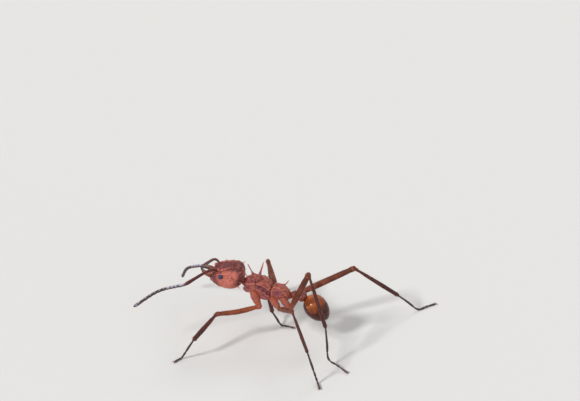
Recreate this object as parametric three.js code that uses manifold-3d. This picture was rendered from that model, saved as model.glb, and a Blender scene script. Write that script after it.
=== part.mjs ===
// Leafcutter ant worker (genus Acromyrmex), a still life-size model caught in mid stride.
// Units are millimetres. +Z is up, the head faces -X and the ant's left side is -Y.
// The thorax crosses X = 0 and the feet stand on Z = 0; the last lines move the
// origin to the middle of the footprint, on the ground.
import * as THREE from "three";
import { mergeVertices } from "three/addons/utils/BufferGeometryUtils.js";
import Module from "manifold-3d";

const wasm = await Module();
wasm.setup();

// ---- driving dimensions -------------------------------------------------------------

const GAP = 0.03; // thin cut between neighbouring pieces
const LIMB_RADIUS = 0.25; // legs and feelers, half of their 0.5 mm thickness
const LIMB_SIDES = 8;
const LIMB_PIECES = { short: 2, straight: 4, curved: 8 }; // lengths that a limb is made of
const BODY_SIDES = 20;
const BODY_RINGS = 14; // rings of a body that is a whole ball
const SMALL_BALL = { sides: 12, rings: 8 };
const EYE_BALL = { sides: 14, rings: 10 };
const SPINE_SIDES = 6;
const SPINE_TIP_RADIUS = 0.035;
// A spine's outline: how far along it is, and its radius there as a share of the foot's.
const SPINE_OUTLINE = [[-0.1, 1.2], [0.15, 0.8], [0.5, 0.48]];
const FOOT_AXIS_HEIGHT = 0.19; // centre line of a foot that lies on the ground
const SLIVER = 0.008; // edges shorter than about this are closed up after a cut

// A body is a row of stations along the middle plane: x, z, half width, half height.
const HEAD = [
  [-3.2, 3.6, 0.26, 0.14],
  [-3.05, 3.6, 0.52, 0.3],
  [-2.72, 3.61, 0.78, 0.48],
  [-2.3, 3.64, 0.95, 0.61],
  [-1.9, 3.68, 1.0, 0.65],
  [-1.56, 3.72, 0.84, 0.55],
  [-1.38, 3.74, 0.5, 0.34],
];
const PRONOTUM = [
  [-1.5, 3.33, 0.15, 0.15],
  [-1.32, 3.31, 0.21, 0.21],
  [-1.14, 3.28, 0.44, 0.36],
  [-0.9, 3.25, 0.58, 0.46],
  [-0.66, 3.2, 0.54, 0.44],
  [-0.5, 3.17, 0.34, 0.3],
];
const MESOTHORAX = [
  [-0.74, 3.11, 0.26, 0.32],
  [-0.54, 3.12, 0.46, 0.54],
  [-0.3, 3.08, 0.5, 0.6],
  [-0.02, 2.98, 0.44, 0.52],
  [0.18, 2.89, 0.33, 0.38],
  [0.27, 2.87, 0.2, 0.24],
];
const PROPODEUM = [
  [0.1, 2.86, 0.2, 0.24],
  [0.28, 2.87, 0.37, 0.4],
  [0.6, 2.87, 0.42, 0.45],
  [0.9, 2.79, 0.38, 0.4],
  [1.12, 2.69, 0.27, 0.28],
  [1.24, 2.66, 0.14, 0.15],
];
const PETIOLE = [
  [1.2, 2.68, 0.1, 0.1],
  [1.33, 2.72, 0.17, 0.16],
  [1.47, 2.77, 0.26, 0.24],
  [1.6, 2.75, 0.2, 0.17],
  [1.67, 2.73, 0.1, 0.1],
];
const POSTPETIOLE = [
  [1.64, 2.74, 0.12, 0.12],
  [1.76, 2.74, 0.28, 0.23],
  [1.9, 2.72, 0.34, 0.27],
  [2.03, 2.67, 0.26, 0.21],
  [2.1, 2.64, 0.12, 0.12],
];
const GASTER = { x: 2.7, z: 2.08, halfLength: 0.85, halfWidth: 0.68, halfHeight: 0.64, droop: 48 };

const OCCIPITAL_LOBE = { x: -1.76, y: 0.46, z: 3.82, radius: 0.46 };
const EYE = { x: -2.44, y: 0.79, z: 3.93, radius: 0.14, depth: 0.11, outward: [-0.2, 0.82, 0.54] };

// Spines come in pairs: foot and tip of the right one, and the radius at its foot.
const HEAD_SPINES = {
  occipital: { foot: [-1.5, 0.5, 4.08], tip: [-1.33, 0.56, 4.26], radius: 0.08 },
  vertex: { foot: [-1.78, 0.24, 4.2], tip: [-1.72, 0.26, 4.38], radius: 0.06 },
  supraocular: { foot: [-2.15, 0.62, 4.05], tip: [-2.12, 0.7, 4.2], radius: 0.06 },
  frontal: { foot: [-2.56, 0.36, 3.95], tip: [-2.66, 0.42, 4.2], radius: 0.13 },
  cheek: { foot: [-1.5, 0.7, 3.48], tip: [-1.34, 0.8, 3.3], radius: 0.07 },
};
const PRONOTUM_SPINES = {
  lateral: { foot: [-0.82, 0.36, 3.5], tip: [-1.2, 0.44, 4.18], radius: 0.11 },
  inferior: { foot: [-1.02, 0.44, 3.12], tip: [-1.34, 0.52, 3.28], radius: 0.08 },
};
const MESOTHORAX_SPINES = {
  anterior: { foot: [-0.54, 0.2, 3.5], tip: [-0.39, 0.8, 4.18], radius: 0.14 },
  posterior: { foot: [-0.12, 0.22, 3.36], tip: [-0.01, 0.33, 3.72], radius: 0.08 },
};
const PROPODEUM_SPINES = {
  dorsal: { foot: [0.78, 0.22, 3.05], tip: [1.06, 0.45, 3.37], radius: 0.09 },
};
const PETIOLE_SPINES = {
  dorsal: { foot: [1.46, 0.12, 2.92], tip: [1.5, 0.17, 3.07], radius: 0.05 },
};
const POSTPETIOLE_SPINES = {
  lateral: { foot: [1.9, 0.24, 2.8], tip: [1.94, 0.38, 2.9], radius: 0.05 },
};

// Mandible: hinge, elbow of the blade and tip of the right one.
const MANDIBLE = {
  hinge: [-3, 0.4, 3.64],
  elbow: [-3.4, 0.36, 3.85],
  tip: [-3.68, 0.06, 3.93],
  halfDepth: 0.19,
  halfThickness: 0.12,
  tipTaper: 0.6, // share of its girth that the blade loses towards its tip
  rings: 6,
  endBulge: 0.05,
};

// Feelers: socket, arch of the scape, elbow, middle and tip of the flagellum, as each side
// is posed.
const FEELERS = {
  left: {
    socket: [-2.66, -0.36, 4.06], arch: [-3.09, -0.7, 4.18], elbow: [-4.2, -1.65, 3.8],
    middle: [-5.5, -2.3, 3.62], tip: [-6.64, -3.2, 3.1],
  },
  right: {
    socket: [-2.66, 0.36, 4.06], arch: [-3.07, 0.62, 4.12], elbow: [-3.88, 1.58, 3.15],
    middle: [-4.85, 2.38, 2.42], tip: [-5.5, 3.15, 1.3],
  },
};

// Legs: where each joint stands, as the ant walks with three feet forward and three back.
const LEGS = {
  front_left: {
    hip: [-0.7, -0.36, 2.86], trochanter: [-0.33, -0.7, 2.26], knee: [-2.44, -1.9, 2.26],
    ankle: [-3.4, -3.3, 1.38], heel: [-4.08, -3.2, 0.12], toe: [-4.36, -3.62, 0],
  },
  front_right: {
    hip: [-0.7, 0.36, 2.86], trochanter: [-0.33, 0.7, 2.26], knee: [-0.7, 2.65, 2.05],
    ankle: [0, 1.12, 0.85], heel: [0.5, 1.05, 0.1], toe: [1.2, 0.9, 0],
  },
  middle_left: {
    hip: [0.38, -0.36, 2.52], trochanter: [0.78, -0.82, 2.3], knee: [1.86, -2.78, 3.48],
    ankle: [3, -4.4, 2.05], heel: [3.5, -4.2, 0.15], toe: [3.68, -4.7, 0],
  },
  middle_right: {
    hip: [0.36, 0.36, 2.52], trochanter: [0.26, 0.86, 2.36], knee: [-0.6, 2.9, 2.97],
    ankle: [-0.62, 3.95, 0.95], heel: [-0.85, 4.7, 0.1], toe: [-1.2, 5.35, 0],
  },
  hind_left: {
    hip: [0.97, -0.3, 2.5], trochanter: [1.38, -0.74, 2.32], knee: [2.56, -1.78, 5.25],
    ankle: [3.6, -2.38, 2.43], heel: [3.78, -2.42, 0.5], toe: [4.82, -2.9, 0],
  },
  hind_right: {
    hip: [0.97, 0.3, 2.5], trochanter: [1.38, 0.74, 2.32], knee: [4.3, 2.4, 3.36],
    ankle: [6.6, 3.3, 1.36], heel: [7.6, 4.05, 0.12], toe: [8.36, 4.85, 0],
  },
};

const material = (color, roughness) => new THREE.MeshStandardMaterial({ color, roughness, metalness: 0 });
const SHELL = material(0xa8583f, 0.6);
const SHIN = material(0x6e3328, 0.55);
const DARK_HORN = material(0x3a1c17, 0.4);
const POLISHED = material(0x8a3b1e, 0.25);
const EYE_BLACK = material(0x15171f, 0.2);

// ---- sweeping closed bodies ----------------------------------------------------------

const vec = (point) => new THREE.Vector3(...point);

// Joins rings of points into one closed skin, with a pole at each end.
function skinRings(rings, firstPole, lastPole) {
  const sides = rings[0].length;
  const positions = rings.flat().concat(firstPole, lastPole).flatMap((p) => [p.x, p.y, p.z]);
  const first = rings.length * sides;
  const last = first + 1;
  const faces = [];
  for (let i = 0; i < sides; i++) {
    const j = (i + 1) % sides;
    faces.push(first, j, i);
    for (let ring = 0; ring < rings.length - 1; ring++) {
      const here = ring * sides;
      const next = here + sides;
      faces.push(here + i, here + j, next + j, here + i, next + j, next + i);
    }
    const end = (rings.length - 1) * sides;
    faces.push(last, end + i, end + j);
  }
  const geometry = new THREE.BufferGeometry();
  geometry.setAttribute("position", new THREE.Float32BufferAttribute(positions, 3));
  geometry.setIndex(faces);
  return geometry;
}

// An oval ring round a centre, square to a heading; `across` is its wide direction.
function ovalRing(centre, heading, across, halfWidth, halfHeight, sides) {
  const side = across.clone().addScaledVector(heading, -across.dot(heading)).normalize();
  const rise = new THREE.Vector3().crossVectors(heading, side).normalize();
  return Array.from({ length: sides }, (_, i) => {
    const angle = (2 * Math.PI * i) / sides;
    return centre.clone()
      .addScaledVector(side, halfWidth * Math.cos(angle))
      .addScaledVector(rise, halfHeight * Math.sin(angle));
  });
}

// A body lofted through its stations, with round ends; `grow` thickens it all over.
function plate(stations, grow = 0) {
  const ringsPerStation = 2;
  const bulge = 0.3; // how far a round end stands out, as a share of its height
  const across = new THREE.Vector3(0, 1, 0);
  const path = new THREE.CatmullRomCurve3(stations.map(([x, z]) => new THREE.Vector3(x, 0, z)));
  const sizes = new THREE.SplineCurve(stations.map(([, , w, h]) => new THREE.Vector2(w, h)));
  const count = (stations.length - 1) * ringsPerStation;
  const rings = [];
  for (let i = 0; i <= count; i++) {
    const t = i / count;
    const { x: halfWidth, y: halfHeight } = sizes.getPoint(t);
    const girth = [halfWidth + grow, halfHeight + grow];
    rings.push(ovalRing(path.getPoint(t), path.getTangent(t), across, ...girth, BODY_SIDES));
  }
  const endPole = (t, sign) => path.getPoint(t)
    .addScaledVector(path.getTangent(t), sign * (bulge * sizes.getPoint(t).y + grow));
  return skinRings(rings, endPole(0, -1), endPole(1, 1));
}

// A limb of even thickness through its points, ending in half balls.
function limb(points, { grow = 0, pieces = LIMB_PIECES.straight } = {}) {
  const radius = LIMB_RADIUS + grow;
  const path = new THREE.CatmullRomCurve3(points.map(vec), false, "centripetal");
  const across = new THREE.Vector3(0.31, -0.42, 0.85); // lies along none of the limbs
  const ringAt = (t, offset, size) => {
    const heading = path.getTangentAt(t);
    const centre = path.getPointAt(t).addScaledVector(heading, offset);
    return ovalRing(centre, heading, across, size, size, LIMB_SIDES);
  };
  const ballAngle = Math.PI / 4;
  const reach = radius * Math.sin(ballAngle);
  const shrunk = radius * Math.cos(ballAngle);
  const rings = [ringAt(0, -reach, shrunk)];
  for (let i = 0; i <= pieces; i++) rings.push(ringAt(i / pieces, 0, radius));
  rings.push(ringAt(1, reach, shrunk));
  const pole = (t, sign) => path.getPointAt(t).addScaledVector(path.getTangentAt(t), sign * radius);
  return skinRings(rings, pole(0, -1), pole(1, 1));
}

// A spine: a six-sided cone with a flared foot and a blunt tip.
function spine({ foot, tip, radius }, side) {
  const from = onSide(foot, side);
  const to = onSide(tip, side);
  const heading = to.clone().sub(from).normalize();
  const across = new THREE.Vector3(0.8, 0.6, 0);
  const outline = [...SPINE_OUTLINE, [1, SPINE_TIP_RADIUS / radius]];
  const rings = outline.map(([along, share]) => {
    const girth = radius * share;
    return ovalRing(from.clone().lerp(to, along), heading, across, girth, girth, SPINE_SIDES);
  });
  const pole = (along, step) => from.clone().lerp(to, along).addScaledVector(heading, step);
  return skinRings(rings, pole(outline[0][0], -SLIVER), pole(1, SPINE_TIP_RADIUS));
}

// Places given for the right side; the left side has -Y.
function onSide(point, side) {
  return new THREE.Vector3(point[0], side === "left" ? -point[1] : point[1], point[2]);
}

const SIDES = ["left", "right"];
const bothSides = (pair) => SIDES.map((side) => spine(pair, side));
const spinePairs = (spines) => Object.values(spines).flatMap(bothSides);

// ---- joining and cutting ---------------------------------------------------------------

function toSolid(geometry) {
  const weld = 1e-5;
  const bare = geometry.clone();
  bare.deleteAttribute("normal");
  bare.deleteAttribute("uv");
  const merged = mergeVertices(bare, weld);
  const mesh = new wasm.Mesh({
    numProp: 3,
    vertProperties: new Float32Array(merged.attributes.position.array),
    triVerts: new Uint32Array(merged.index.array),
  });
  return new wasm.Manifold(mesh);
}

function toGeometry(solid) {
  const mesh = solid.getMesh();
  const geometry = new THREE.BufferGeometry();
  geometry.setAttribute("position", new THREE.BufferAttribute(mesh.vertProperties, 3));
  geometry.setIndex(new THREE.BufferAttribute(mesh.triVerts, 1));
  geometry.computeVertexNormals();
  return geometry;
}

// One solid from the pieces it keeps, less the pieces it makes room for. A cut can leave
// slivers beside the body, so only its largest piece stays.
function carve(kept, removed = []) {
  let solid = kept.map(toSolid).reduce((whole, piece) => whole.add(piece));
  for (const geometry of removed) solid = solid.subtract(toSolid(geometry));
  const largest = solid.decompose().reduce((a, b) => (a.volume() > b.volume() ? a : b));
  return toGeometry(largest.asOriginal().simplify(SLIVER));
}

// ---- the sub-parts ---------------------------------------------------------------------

const ant = new THREE.Group();
function addPart(name, geometry, finish) {
  const mesh = new THREE.Mesh(geometry, finish.clone());
  mesh.name = name;
  ant.add(mesh);
}

function ball(centre, radius, grow = 0) {
  const geometry = new THREE.SphereGeometry(radius + grow, SMALL_BALL.sides, SMALL_BALL.rings);
  return geometry.translate(centre.x, centre.y, centre.z);
}

// The eye is a thick lens that faces sideways and a little up and forward.
function eye(side, grow = 0) {
  const { x, y, z, radius, depth } = EYE;
  const geometry = new THREE.SphereGeometry(1, EYE_BALL.sides, EYE_BALL.rings);
  geometry.rotateX(Math.PI / 2);
  geometry.scale(radius + grow, radius + grow, depth + grow);
  const outward = onSide(EYE.outward, side).normalize();
  const turn = new THREE.Quaternion().setFromUnitVectors(new THREE.Vector3(0, 0, 1), outward);
  geometry.applyQuaternion(turn);
  const place = onSide([x, y, z], side);
  return geometry.translate(place.x, place.y, place.z);
}

function headShell(grow = 0) {
  const { x, y, z, radius } = OCCIPITAL_LOBE;
  const lobes = SIDES.map((side) => ball(onSide([x, y, z], side), radius, grow));
  return [plate(HEAD, grow), ...lobes];
}

function gaster(grow = 0) {
  const { x, z, halfLength, halfWidth, halfHeight, droop } = GASTER;
  const geometry = new THREE.SphereGeometry(1, BODY_SIDES, BODY_RINGS);
  geometry.rotateZ(Math.PI / 2);
  geometry.scale(halfLength + grow, halfWidth + grow, halfHeight + grow);
  geometry.rotateY(THREE.MathUtils.degToRad(droop));
  return geometry.translate(x, 0, z);
}

// A jaw: a curved blade, broad at its hinge and narrow at its tip.
function mandible(side, grow = 0) {
  const { hinge, elbow, tip, halfDepth, halfThickness, tipTaper, rings: count, endBulge } = MANDIBLE;
  const path = new THREE.CatmullRomCurve3([hinge, elbow, tip].map((point) => onSide(point, side)));
  const across = new THREE.Vector3(0, 0, 1);
  const rings = Array.from({ length: count + 1 }, (_, i) => {
    const t = i / count;
    const taper = 1 - tipTaper * t * t;
    const deep = halfDepth * taper + grow;
    const thick = halfThickness * taper + grow;
    return ovalRing(path.getPoint(t), path.getTangent(t), across, deep, thick, LIMB_SIDES);
  });
  const bulge = endBulge + grow;
  const pole = (t, sign) => path.getPoint(t).addScaledVector(path.getTangent(t), sign * bulge);
  return skinRings(rings, pole(0, -1), pole(1, 1));
}

function addHead() {
  const sockets = SIDES.map((side) => eye(side, GAP / 2));
  const room = [plate(PRONOTUM, GAP), ...sockets];
  addPart("head", carve([...headShell(), ...spinePairs(HEAD_SPINES)], room), SHELL);
  for (const side of SIDES) {
    addPart(`eye_${side}`, eye(side), EYE_BLACK);
    const otherJaw = side === "right" ? [mandible("left", GAP)] : [];
    addPart(`mandible_${side}`, carve([mandible(side)], [...headShell(GAP), ...otherJaw]), DARK_HORN);
  }
}

function addFeelers() {
  const curved = { pieces: LIMB_PIECES.curved };
  for (const [side, { socket, arch, elbow, middle, tip }] of Object.entries(FEELERS)) {
    const scapeLine = [socket, arch, elbow];
    const flagellum = limb([elbow, middle, tip], curved);
    const headRoom = [...headShell(GAP), ...bothSides(HEAD_SPINES.frontal)];
    const scapeRoom = limb(scapeLine, { grow: GAP, ...curved });
    addPart(`scape_${side}`, carve([limb(scapeLine, curved)], headRoom), SHIN);
    addPart(`flagellum_${side}`, carve([flagellum], [scapeRoom]), DARK_HORN);
  }
}

// A length of the trunk or waist with its spines, cut back from its neighbour.
function addSegment(name, stations, spines, neighbours) {
  const room = neighbours.map((neighbour) => plate(neighbour, GAP));
  addPart(name, carve([plate(stations), ...spinePairs(spines)], room), SHELL);
}

function addTrunk() {
  addSegment("pronotum", PRONOTUM, PRONOTUM_SPINES, [MESOTHORAX]);
  addSegment("mesothorax", MESOTHORAX, MESOTHORAX_SPINES, []);
  addSegment("propodeum", PROPODEUM, PROPODEUM_SPINES, [MESOTHORAX]);
  addSegment("petiole", PETIOLE, PETIOLE_SPINES, [PROPODEUM]);
  addSegment("postpetiole", POSTPETIOLE, POSTPETIOLE_SPINES, [PETIOLE]);
  addPart("gaster", carve([gaster()], [plate(POSTPETIOLE, GAP)]), POLISHED);
}

// A foot lies on the ground along its underside: its line is lifted and its sole cut flat.
function tarsusLine({ ankle, heel, toe }) {
  const lifted = (point) => [point[0], point[1], Math.max(point[2], FOOT_AXIS_HEIGHT)];
  return [ankle, lifted(heel), lifted(toe)];
}

function belowGround() {
  const width = 40; // past the feet on every side
  const depth = 2;
  return new THREE.BoxGeometry(width, width, depth).translate(0, 0, -depth / 2);
}

function addLeg(name, joints) {
  const { hip, trochanter, knee, ankle } = joints;
  const short = { pieces: LIMB_PIECES.short };
  const curved = { pieces: LIMB_PIECES.curved };
  const trunk = [PRONOTUM, MESOTHORAX, PROPODEUM].map((stations) => plate(stations, GAP));
  const coxaLine = [hip, trochanter];
  const femurLine = [trochanter, knee];
  const tibiaLine = [knee, ankle];
  const coxaRoom = limb(coxaLine, { grow: GAP, ...short });
  const femurRoom = limb(femurLine, { grow: GAP });
  const tibiaRoom = limb(tibiaLine, { grow: GAP });
  addPart(`coxa_${name}`, carve([limb(coxaLine, short)], trunk), SHELL);
  addPart(`femur_${name}`, carve([limb(femurLine)], [...trunk, coxaRoom]), SHELL);
  addPart(`tibia_${name}`, carve([limb(tibiaLine)], [femurRoom]), SHIN);
  addPart(`tarsus_${name}`, carve([limb(tarsusLine(joints), curved)], [tibiaRoom, belowGround()]), DARK_HORN);
}

addHead();
addFeelers();
addTrunk();
for (const [name, joints] of Object.entries(LEGS)) addLeg(name, joints);

const box = new THREE.Box3().setFromObject(ant, true);
const middle = box.getCenter(new THREE.Vector3());
ant.position.set(-middle.x, -middle.y, -box.min.z);

export default ant;
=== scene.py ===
"""A spiny leafcutter ant worker in mid stride, as a life-size museum model.

Body places are in millimetres: x runs back from the middle of the trunk, y to the ant's right
and z up from the ground. Finished meshes are in metres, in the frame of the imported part.
"""

import math

import bmesh
import bpy
import numpy as np
from mathutils import Matrix, Vector, noise


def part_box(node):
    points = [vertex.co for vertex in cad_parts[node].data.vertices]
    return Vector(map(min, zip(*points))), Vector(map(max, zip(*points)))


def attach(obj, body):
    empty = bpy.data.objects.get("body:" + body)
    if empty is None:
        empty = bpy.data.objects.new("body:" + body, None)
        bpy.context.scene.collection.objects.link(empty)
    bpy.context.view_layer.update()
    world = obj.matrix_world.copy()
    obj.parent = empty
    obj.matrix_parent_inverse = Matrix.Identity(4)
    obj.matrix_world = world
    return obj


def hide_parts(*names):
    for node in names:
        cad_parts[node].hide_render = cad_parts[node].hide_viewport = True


bl_info = {
    "name": "Leafcutter Ant",
    "version": (1, 0, 0),
    "blender": (4, 5, 0),
    "location": "View3D > Sidebar > Ant",
    "description": "Builds a spiny leafcutter ant piece by piece around its packed solids",
    "category": "Object",
}

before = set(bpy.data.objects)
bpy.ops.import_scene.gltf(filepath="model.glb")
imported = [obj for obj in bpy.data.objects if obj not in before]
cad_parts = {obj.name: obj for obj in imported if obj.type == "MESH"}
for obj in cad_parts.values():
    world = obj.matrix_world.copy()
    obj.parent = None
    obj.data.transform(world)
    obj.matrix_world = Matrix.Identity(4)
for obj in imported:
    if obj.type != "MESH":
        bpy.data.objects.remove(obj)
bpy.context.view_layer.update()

MM = 0.001
SIDES = {"left": -1, "right": 1}
BODY = "root"

# ---- where things are --------------------------------------------------------------------------

MESOTHORAX_REAR = 0.342  # the mesothorax's rear end, behind the middle of the trunk
LIMB_SOLID_RADIUS = 0.25  # of the rods that stand for legs and feelers in the solids
ROD_SHORTFALL = 0.005  # how far a rod's corners fall short of that radius
SOLE_DEPTH = 0.02  # a foot's corners below this height lie on the ground
TOE_HEIGHT = 0.065  # of the middle of a foot's end
TRUNK_UNDERSIDE = Vector((0, 0, 2.6))
FEELER_SOCKET = np.array((-2.66, 0.36, 4.04))
SCAPE_ARCH = {"left": (-3.09, -0.7, 4.2), "right": (-3.07, 0.62, 4.14)}

ORIGIN = Vector((
    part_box("mesothorax")[1].x - MESOTHORAX_REAR * MM,
    (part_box("head")[0].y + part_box("head")[1].y) / 2,
    0,
))
TO_FRAME = Matrix.Translation(ORIGIN) @ Matrix.Scale(MM, 4)


def node_points(node):
    """A solid's corners, in body millimetres."""
    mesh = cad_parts[node].data
    points = np.empty(len(mesh.vertices) * 3)
    mesh.vertices.foreach_get("co", points)
    return (points.reshape(-1, 3) - np.array(ORIGIN)) / MM


def unit(vector):
    vector = np.asarray(vector, float)
    return vector / np.maximum(np.linalg.norm(vector, axis=-1, keepdims=True), 1e-12)


def middle_of(node):
    points = node_points(node)
    return (points.min(0) + points.max(0)) / 2


def far_end(node, start):
    """Where a limb's line ends: its farthest corner from its start, less the round end."""
    points = node_points(node)
    reach = np.linalg.norm(points - start, axis=1)
    tip = points[reach.argmax()]
    return tip - unit(tip - start) * LIMB_SOLID_RADIUS


def sole_end(node, ankle):
    """The middle of the round end of a foot, from the corners that lie on the ground."""
    points = node_points(node)
    sole = points[points[:, 2] < SOLE_DEPTH]
    away = (sole - ankle) * (1, 1, 0)
    reach = np.linalg.norm(away, axis=1)
    tip = sole[reach.argmax()]
    toe = tip - unit(away[reach.argmax()]) * LIMB_SOLID_RADIUS / 2
    return np.array((toe[0], toe[1], TOE_HEIGHT))


def halfway(node, start, end):
    """The middle of a bent limb's ring that lies nearest halfway."""
    ring_size = 8
    points = node_points(node)
    share = (points - start) @ (end - start) / np.sum((end - start) ** 2)
    return points[np.argsort(np.abs(share - 0.5))[:ring_size]].mean(0)


def coxa_ends(node, side):
    """The two ends of a coxa's line: its inner, upper, front corner and the one opposite."""
    points = node_points(node)
    low, high = points.min(0), points.max(0)
    inner, outer = (high[1], low[1]) if side == "left" else (low[1], high[1])
    inset = LIMB_SOLID_RADIUS - ROD_SHORTFALL
    out = SIDES[side]
    hip = np.array((low[0] + inset, inner + out * inset, high[2] - inset))
    trochanter = np.array((high[0] - inset, outer - out * inset, low[2] + inset))
    return hip, trochanter


# From each ankle, how far forward or back and to the side the tarsus bends, and at what height.
HEELS = {
    "front_left": (-0.68, 0.1, 0.13),
    "front_right": (0.5, -0.07, 0.12),
    "middle_left": (0.5, 0.2, 0.16),
    "middle_right": (-0.23, 0.75, 0.12),
    "hind_left": (0.18, -0.04, 0.5),
    "hind_right": (1.0, 0.75, 0.12),
}


class Leg:
    """The joints of one leg, read from its solids."""

    def __init__(self, name):
        self.name = name
        self.pair, self.side = name.split("_")
        self.hip, self.trochanter = coxa_ends(f"coxa_{name}", self.side)
        self.knee = far_end(f"femur_{name}", self.trochanter)
        self.ankle = far_end(f"tibia_{name}", self.knee)
        ahead, aside, height = HEELS[name]
        self.heel = np.array((self.ankle[0] + ahead, self.ankle[1] + aside, height))
        self.toe = sole_end(f"tarsus_{name}", self.ankle)
        self.across = unit(np.cross(self.knee - self.trochanter, self.ankle - self.knee))


class Feeler:
    """The joints of one feeler, read from its solids."""

    def __init__(self, side):
        self.side = side
        self.socket = FEELER_SOCKET * (1, SIDES[side], 1)
        self.arch = np.array(SCAPE_ARCH[side])
        self.elbow = far_end(f"scape_{side}", self.socket)
        self.tip = far_end(f"flagellum_{side}", self.elbow)
        self.middle = halfway(f"flagellum_{side}", self.elbow, self.tip)
        self.across = (0, 0.2, 1)


LEGS = [Leg(name) for name in HEELS]
FEELERS = [Feeler(side) for side in SIDES]

# ---- shapes, as (points, faces) pairs ----------------------------------------------------------


def smoothed(stops, share):
    """A value that eases from stop to stop; a stop is a share of the way and a value there."""
    places, values = np.array(stops, float).T
    index = np.clip(np.searchsorted(places, share, side="right") - 1, 0, len(places) - 2)
    step = np.clip((share - places[index]) / (places[index + 1] - places[index]), 0, 1)
    step = step * step * (3 - 2 * step)
    return values[index] + (values[index + 1] - values[index]) * step


def curve_through(points, count):
    """Evenly spaced places on a smooth curve through the points, which may have any width."""
    points = np.asarray(points, float)
    ends = [2 * points[0] - points[1], *points, 2 * points[-1] - points[-2]]
    steps = np.linspace(0, 1, 17)[:, None]
    fine = [points[:1]]
    for a, b, c, d in zip(ends, ends[1:], ends[2:], ends[3:]):
        cubic = -a + 3 * b - 3 * c + d
        square = 2 * a - 5 * b + 4 * c - d
        fine.append((2 * b + (c - a) * steps + square * steps**2 + cubic * steps**3)[1:] / 2)
    fine = np.vstack(fine)
    along = np.concatenate([[0], np.cumsum(np.linalg.norm(np.diff(fine, axis=0), axis=1))])
    wanted = np.linspace(0, along[-1], count)
    return np.stack([np.interp(wanted, along, column) for column in fine.T], axis=1)


def skin(rings):
    """Closes rings of points into one skin, with a point in the middle of each end ring."""
    count, sides, _ = rings.shape
    points = np.vstack([rings.reshape(-1, 3), rings[0].mean(0), rings[-1].mean(0)])
    first, last = count * sides, count * sides + 1
    faces = []
    for i in range(sides):
        j = (i + 1) % sides
        end = (count - 1) * sides
        faces += [(first, j, i), (last, end + i, end + j)]
        faces += [
            (ring + i, ring + j, ring + sides + j, ring + sides + i)
            for ring in range(0, end, sides)
        ]
    return points, faces


def tube(path, widths, heights, across, sides=20, box=2.0, ends=(1.0, 1.0)):
    """A closed body along a path. `across` is its wide way, `box` over 2 squares its section,
    and `ends` says how far its round ends stand out, in shares of their height."""
    cap_angles = np.radians((80, 60, 40, 20))
    headings = unit(np.gradient(path, axis=0))
    widths = np.broadcast_to(widths, len(path))
    heights = np.broadcast_to(heights, len(path))
    places, sizes, ways = [], [], []
    for angle in cap_angles:
        places.append(path[0] - headings[0] * heights[0] * ends[0] * np.sin(angle))
        sizes.append(np.array((widths[0], heights[0])) * np.cos(angle))
        ways.append(headings[0])
    places += list(path)
    sizes += list(np.stack([widths, heights], axis=1))
    ways += list(headings)
    for angle in cap_angles[::-1]:
        places.append(path[-1] + headings[-1] * heights[-1] * ends[1] * np.sin(angle))
        sizes.append(np.array((widths[-1], heights[-1])) * np.cos(angle))
        ways.append(headings[-1])
    ways = np.array(ways)
    side = unit(np.asarray(across, float) - ways * (ways @ np.asarray(across, float))[:, None])
    rise = np.cross(ways, side)
    angles = np.linspace(0, 2 * np.pi, sides, endpoint=False)
    wide = np.sign(np.cos(angles)) * np.abs(np.cos(angles)) ** (2 / box)
    high = np.sign(np.sin(angles)) * np.abs(np.sin(angles)) ** (2 / box)
    sizes = np.array(sizes)
    rings = (
        np.array(places)[:, None]
        + side[:, None] * (sizes[:, :1] * wide)[..., None]
        + rise[:, None] * (sizes[:, 1:] * high)[..., None]
    )
    return skin(rings)


def plate(stations, inset, box=2.2, count=40):
    """A body through stations of x, z, half width and half height on the middle plane."""
    line = curve_through(stations, count)
    path = np.stack([line[:, 0], np.zeros(count), line[:, 1]], axis=1)
    widths, heights = line[:, 2] - inset, line[:, 3] - inset
    return tube(path, widths, heights, (0, 1, 0), sides=40, box=box, ends=(0.3, 0.3))


def blob(centre, radii, heading=(1, 0, 0), across=(0, 1, 0)):
    """An egg with its long way along `heading`; radii are along it, across it and up."""
    angles = np.linspace(-1, 1, 11) * np.radians(75)
    long, wide, high = radii
    girth = np.cos(angles)
    path = np.asarray(centre, float) + np.outer(np.sin(angles) * long, unit(heading))
    return tube(path, wide * girth, high * girth, across, ends=(0.2, 0.2))


def spike(foot, tip, radius, sides=12):
    """A spine with a wide flared foot, sunk a little into the skin, and a fine tip."""
    foot, tip = np.asarray(foot, float), np.asarray(tip, float)
    sunk, foot_share, shaft = 0.15, 0.45, 0.34
    share = np.linspace(-sunk, 1, 16)
    path = foot + np.outer(share, tip - foot)
    flare = np.clip(1 - share / foot_share, 0, 1.2) ** 1.6
    girth = radius * (shaft + (1 - shaft) * flare) * (1 - 0.7 * np.clip(share, 0, 1) ** 3)
    return tube(path, girth, girth, (0.31, 0.9, -0.2), sides)


def mirrored(shape_of, places, *rest):
    """The same shape on both sides, from places given for the right side."""
    shapes = []
    for sign in SIDES.values():
        turned = [np.asarray(place, float) * (1, sign, 1) for place in places]
        shapes.append(shape_of(*turned, *rest))
    return shapes


# ---- meshes ------------------------------------------------------------------------------------


def body_mesh(name, shapes):
    """One mesh in body millimetres from closed shapes, with its faces pointing out."""
    points, faces, start = [], [], 0
    for shape_points, shape_faces in shapes:
        points.append(shape_points)
        faces += [tuple(start + i for i in face) for face in shape_faces]
        start += len(shape_points)
    mesh = bpy.data.meshes.new(name)
    mesh.from_pydata(np.vstack(points).tolist(), [], faces)
    shell = bmesh.new()
    shell.from_mesh(mesh)
    bmesh.ops.remove_doubles(shell, verts=shell.verts, dist=1e-5)
    bmesh.ops.recalc_face_normals(shell, faces=shell.faces)
    shell.to_mesh(mesh)
    shell.free()
    return mesh


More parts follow.
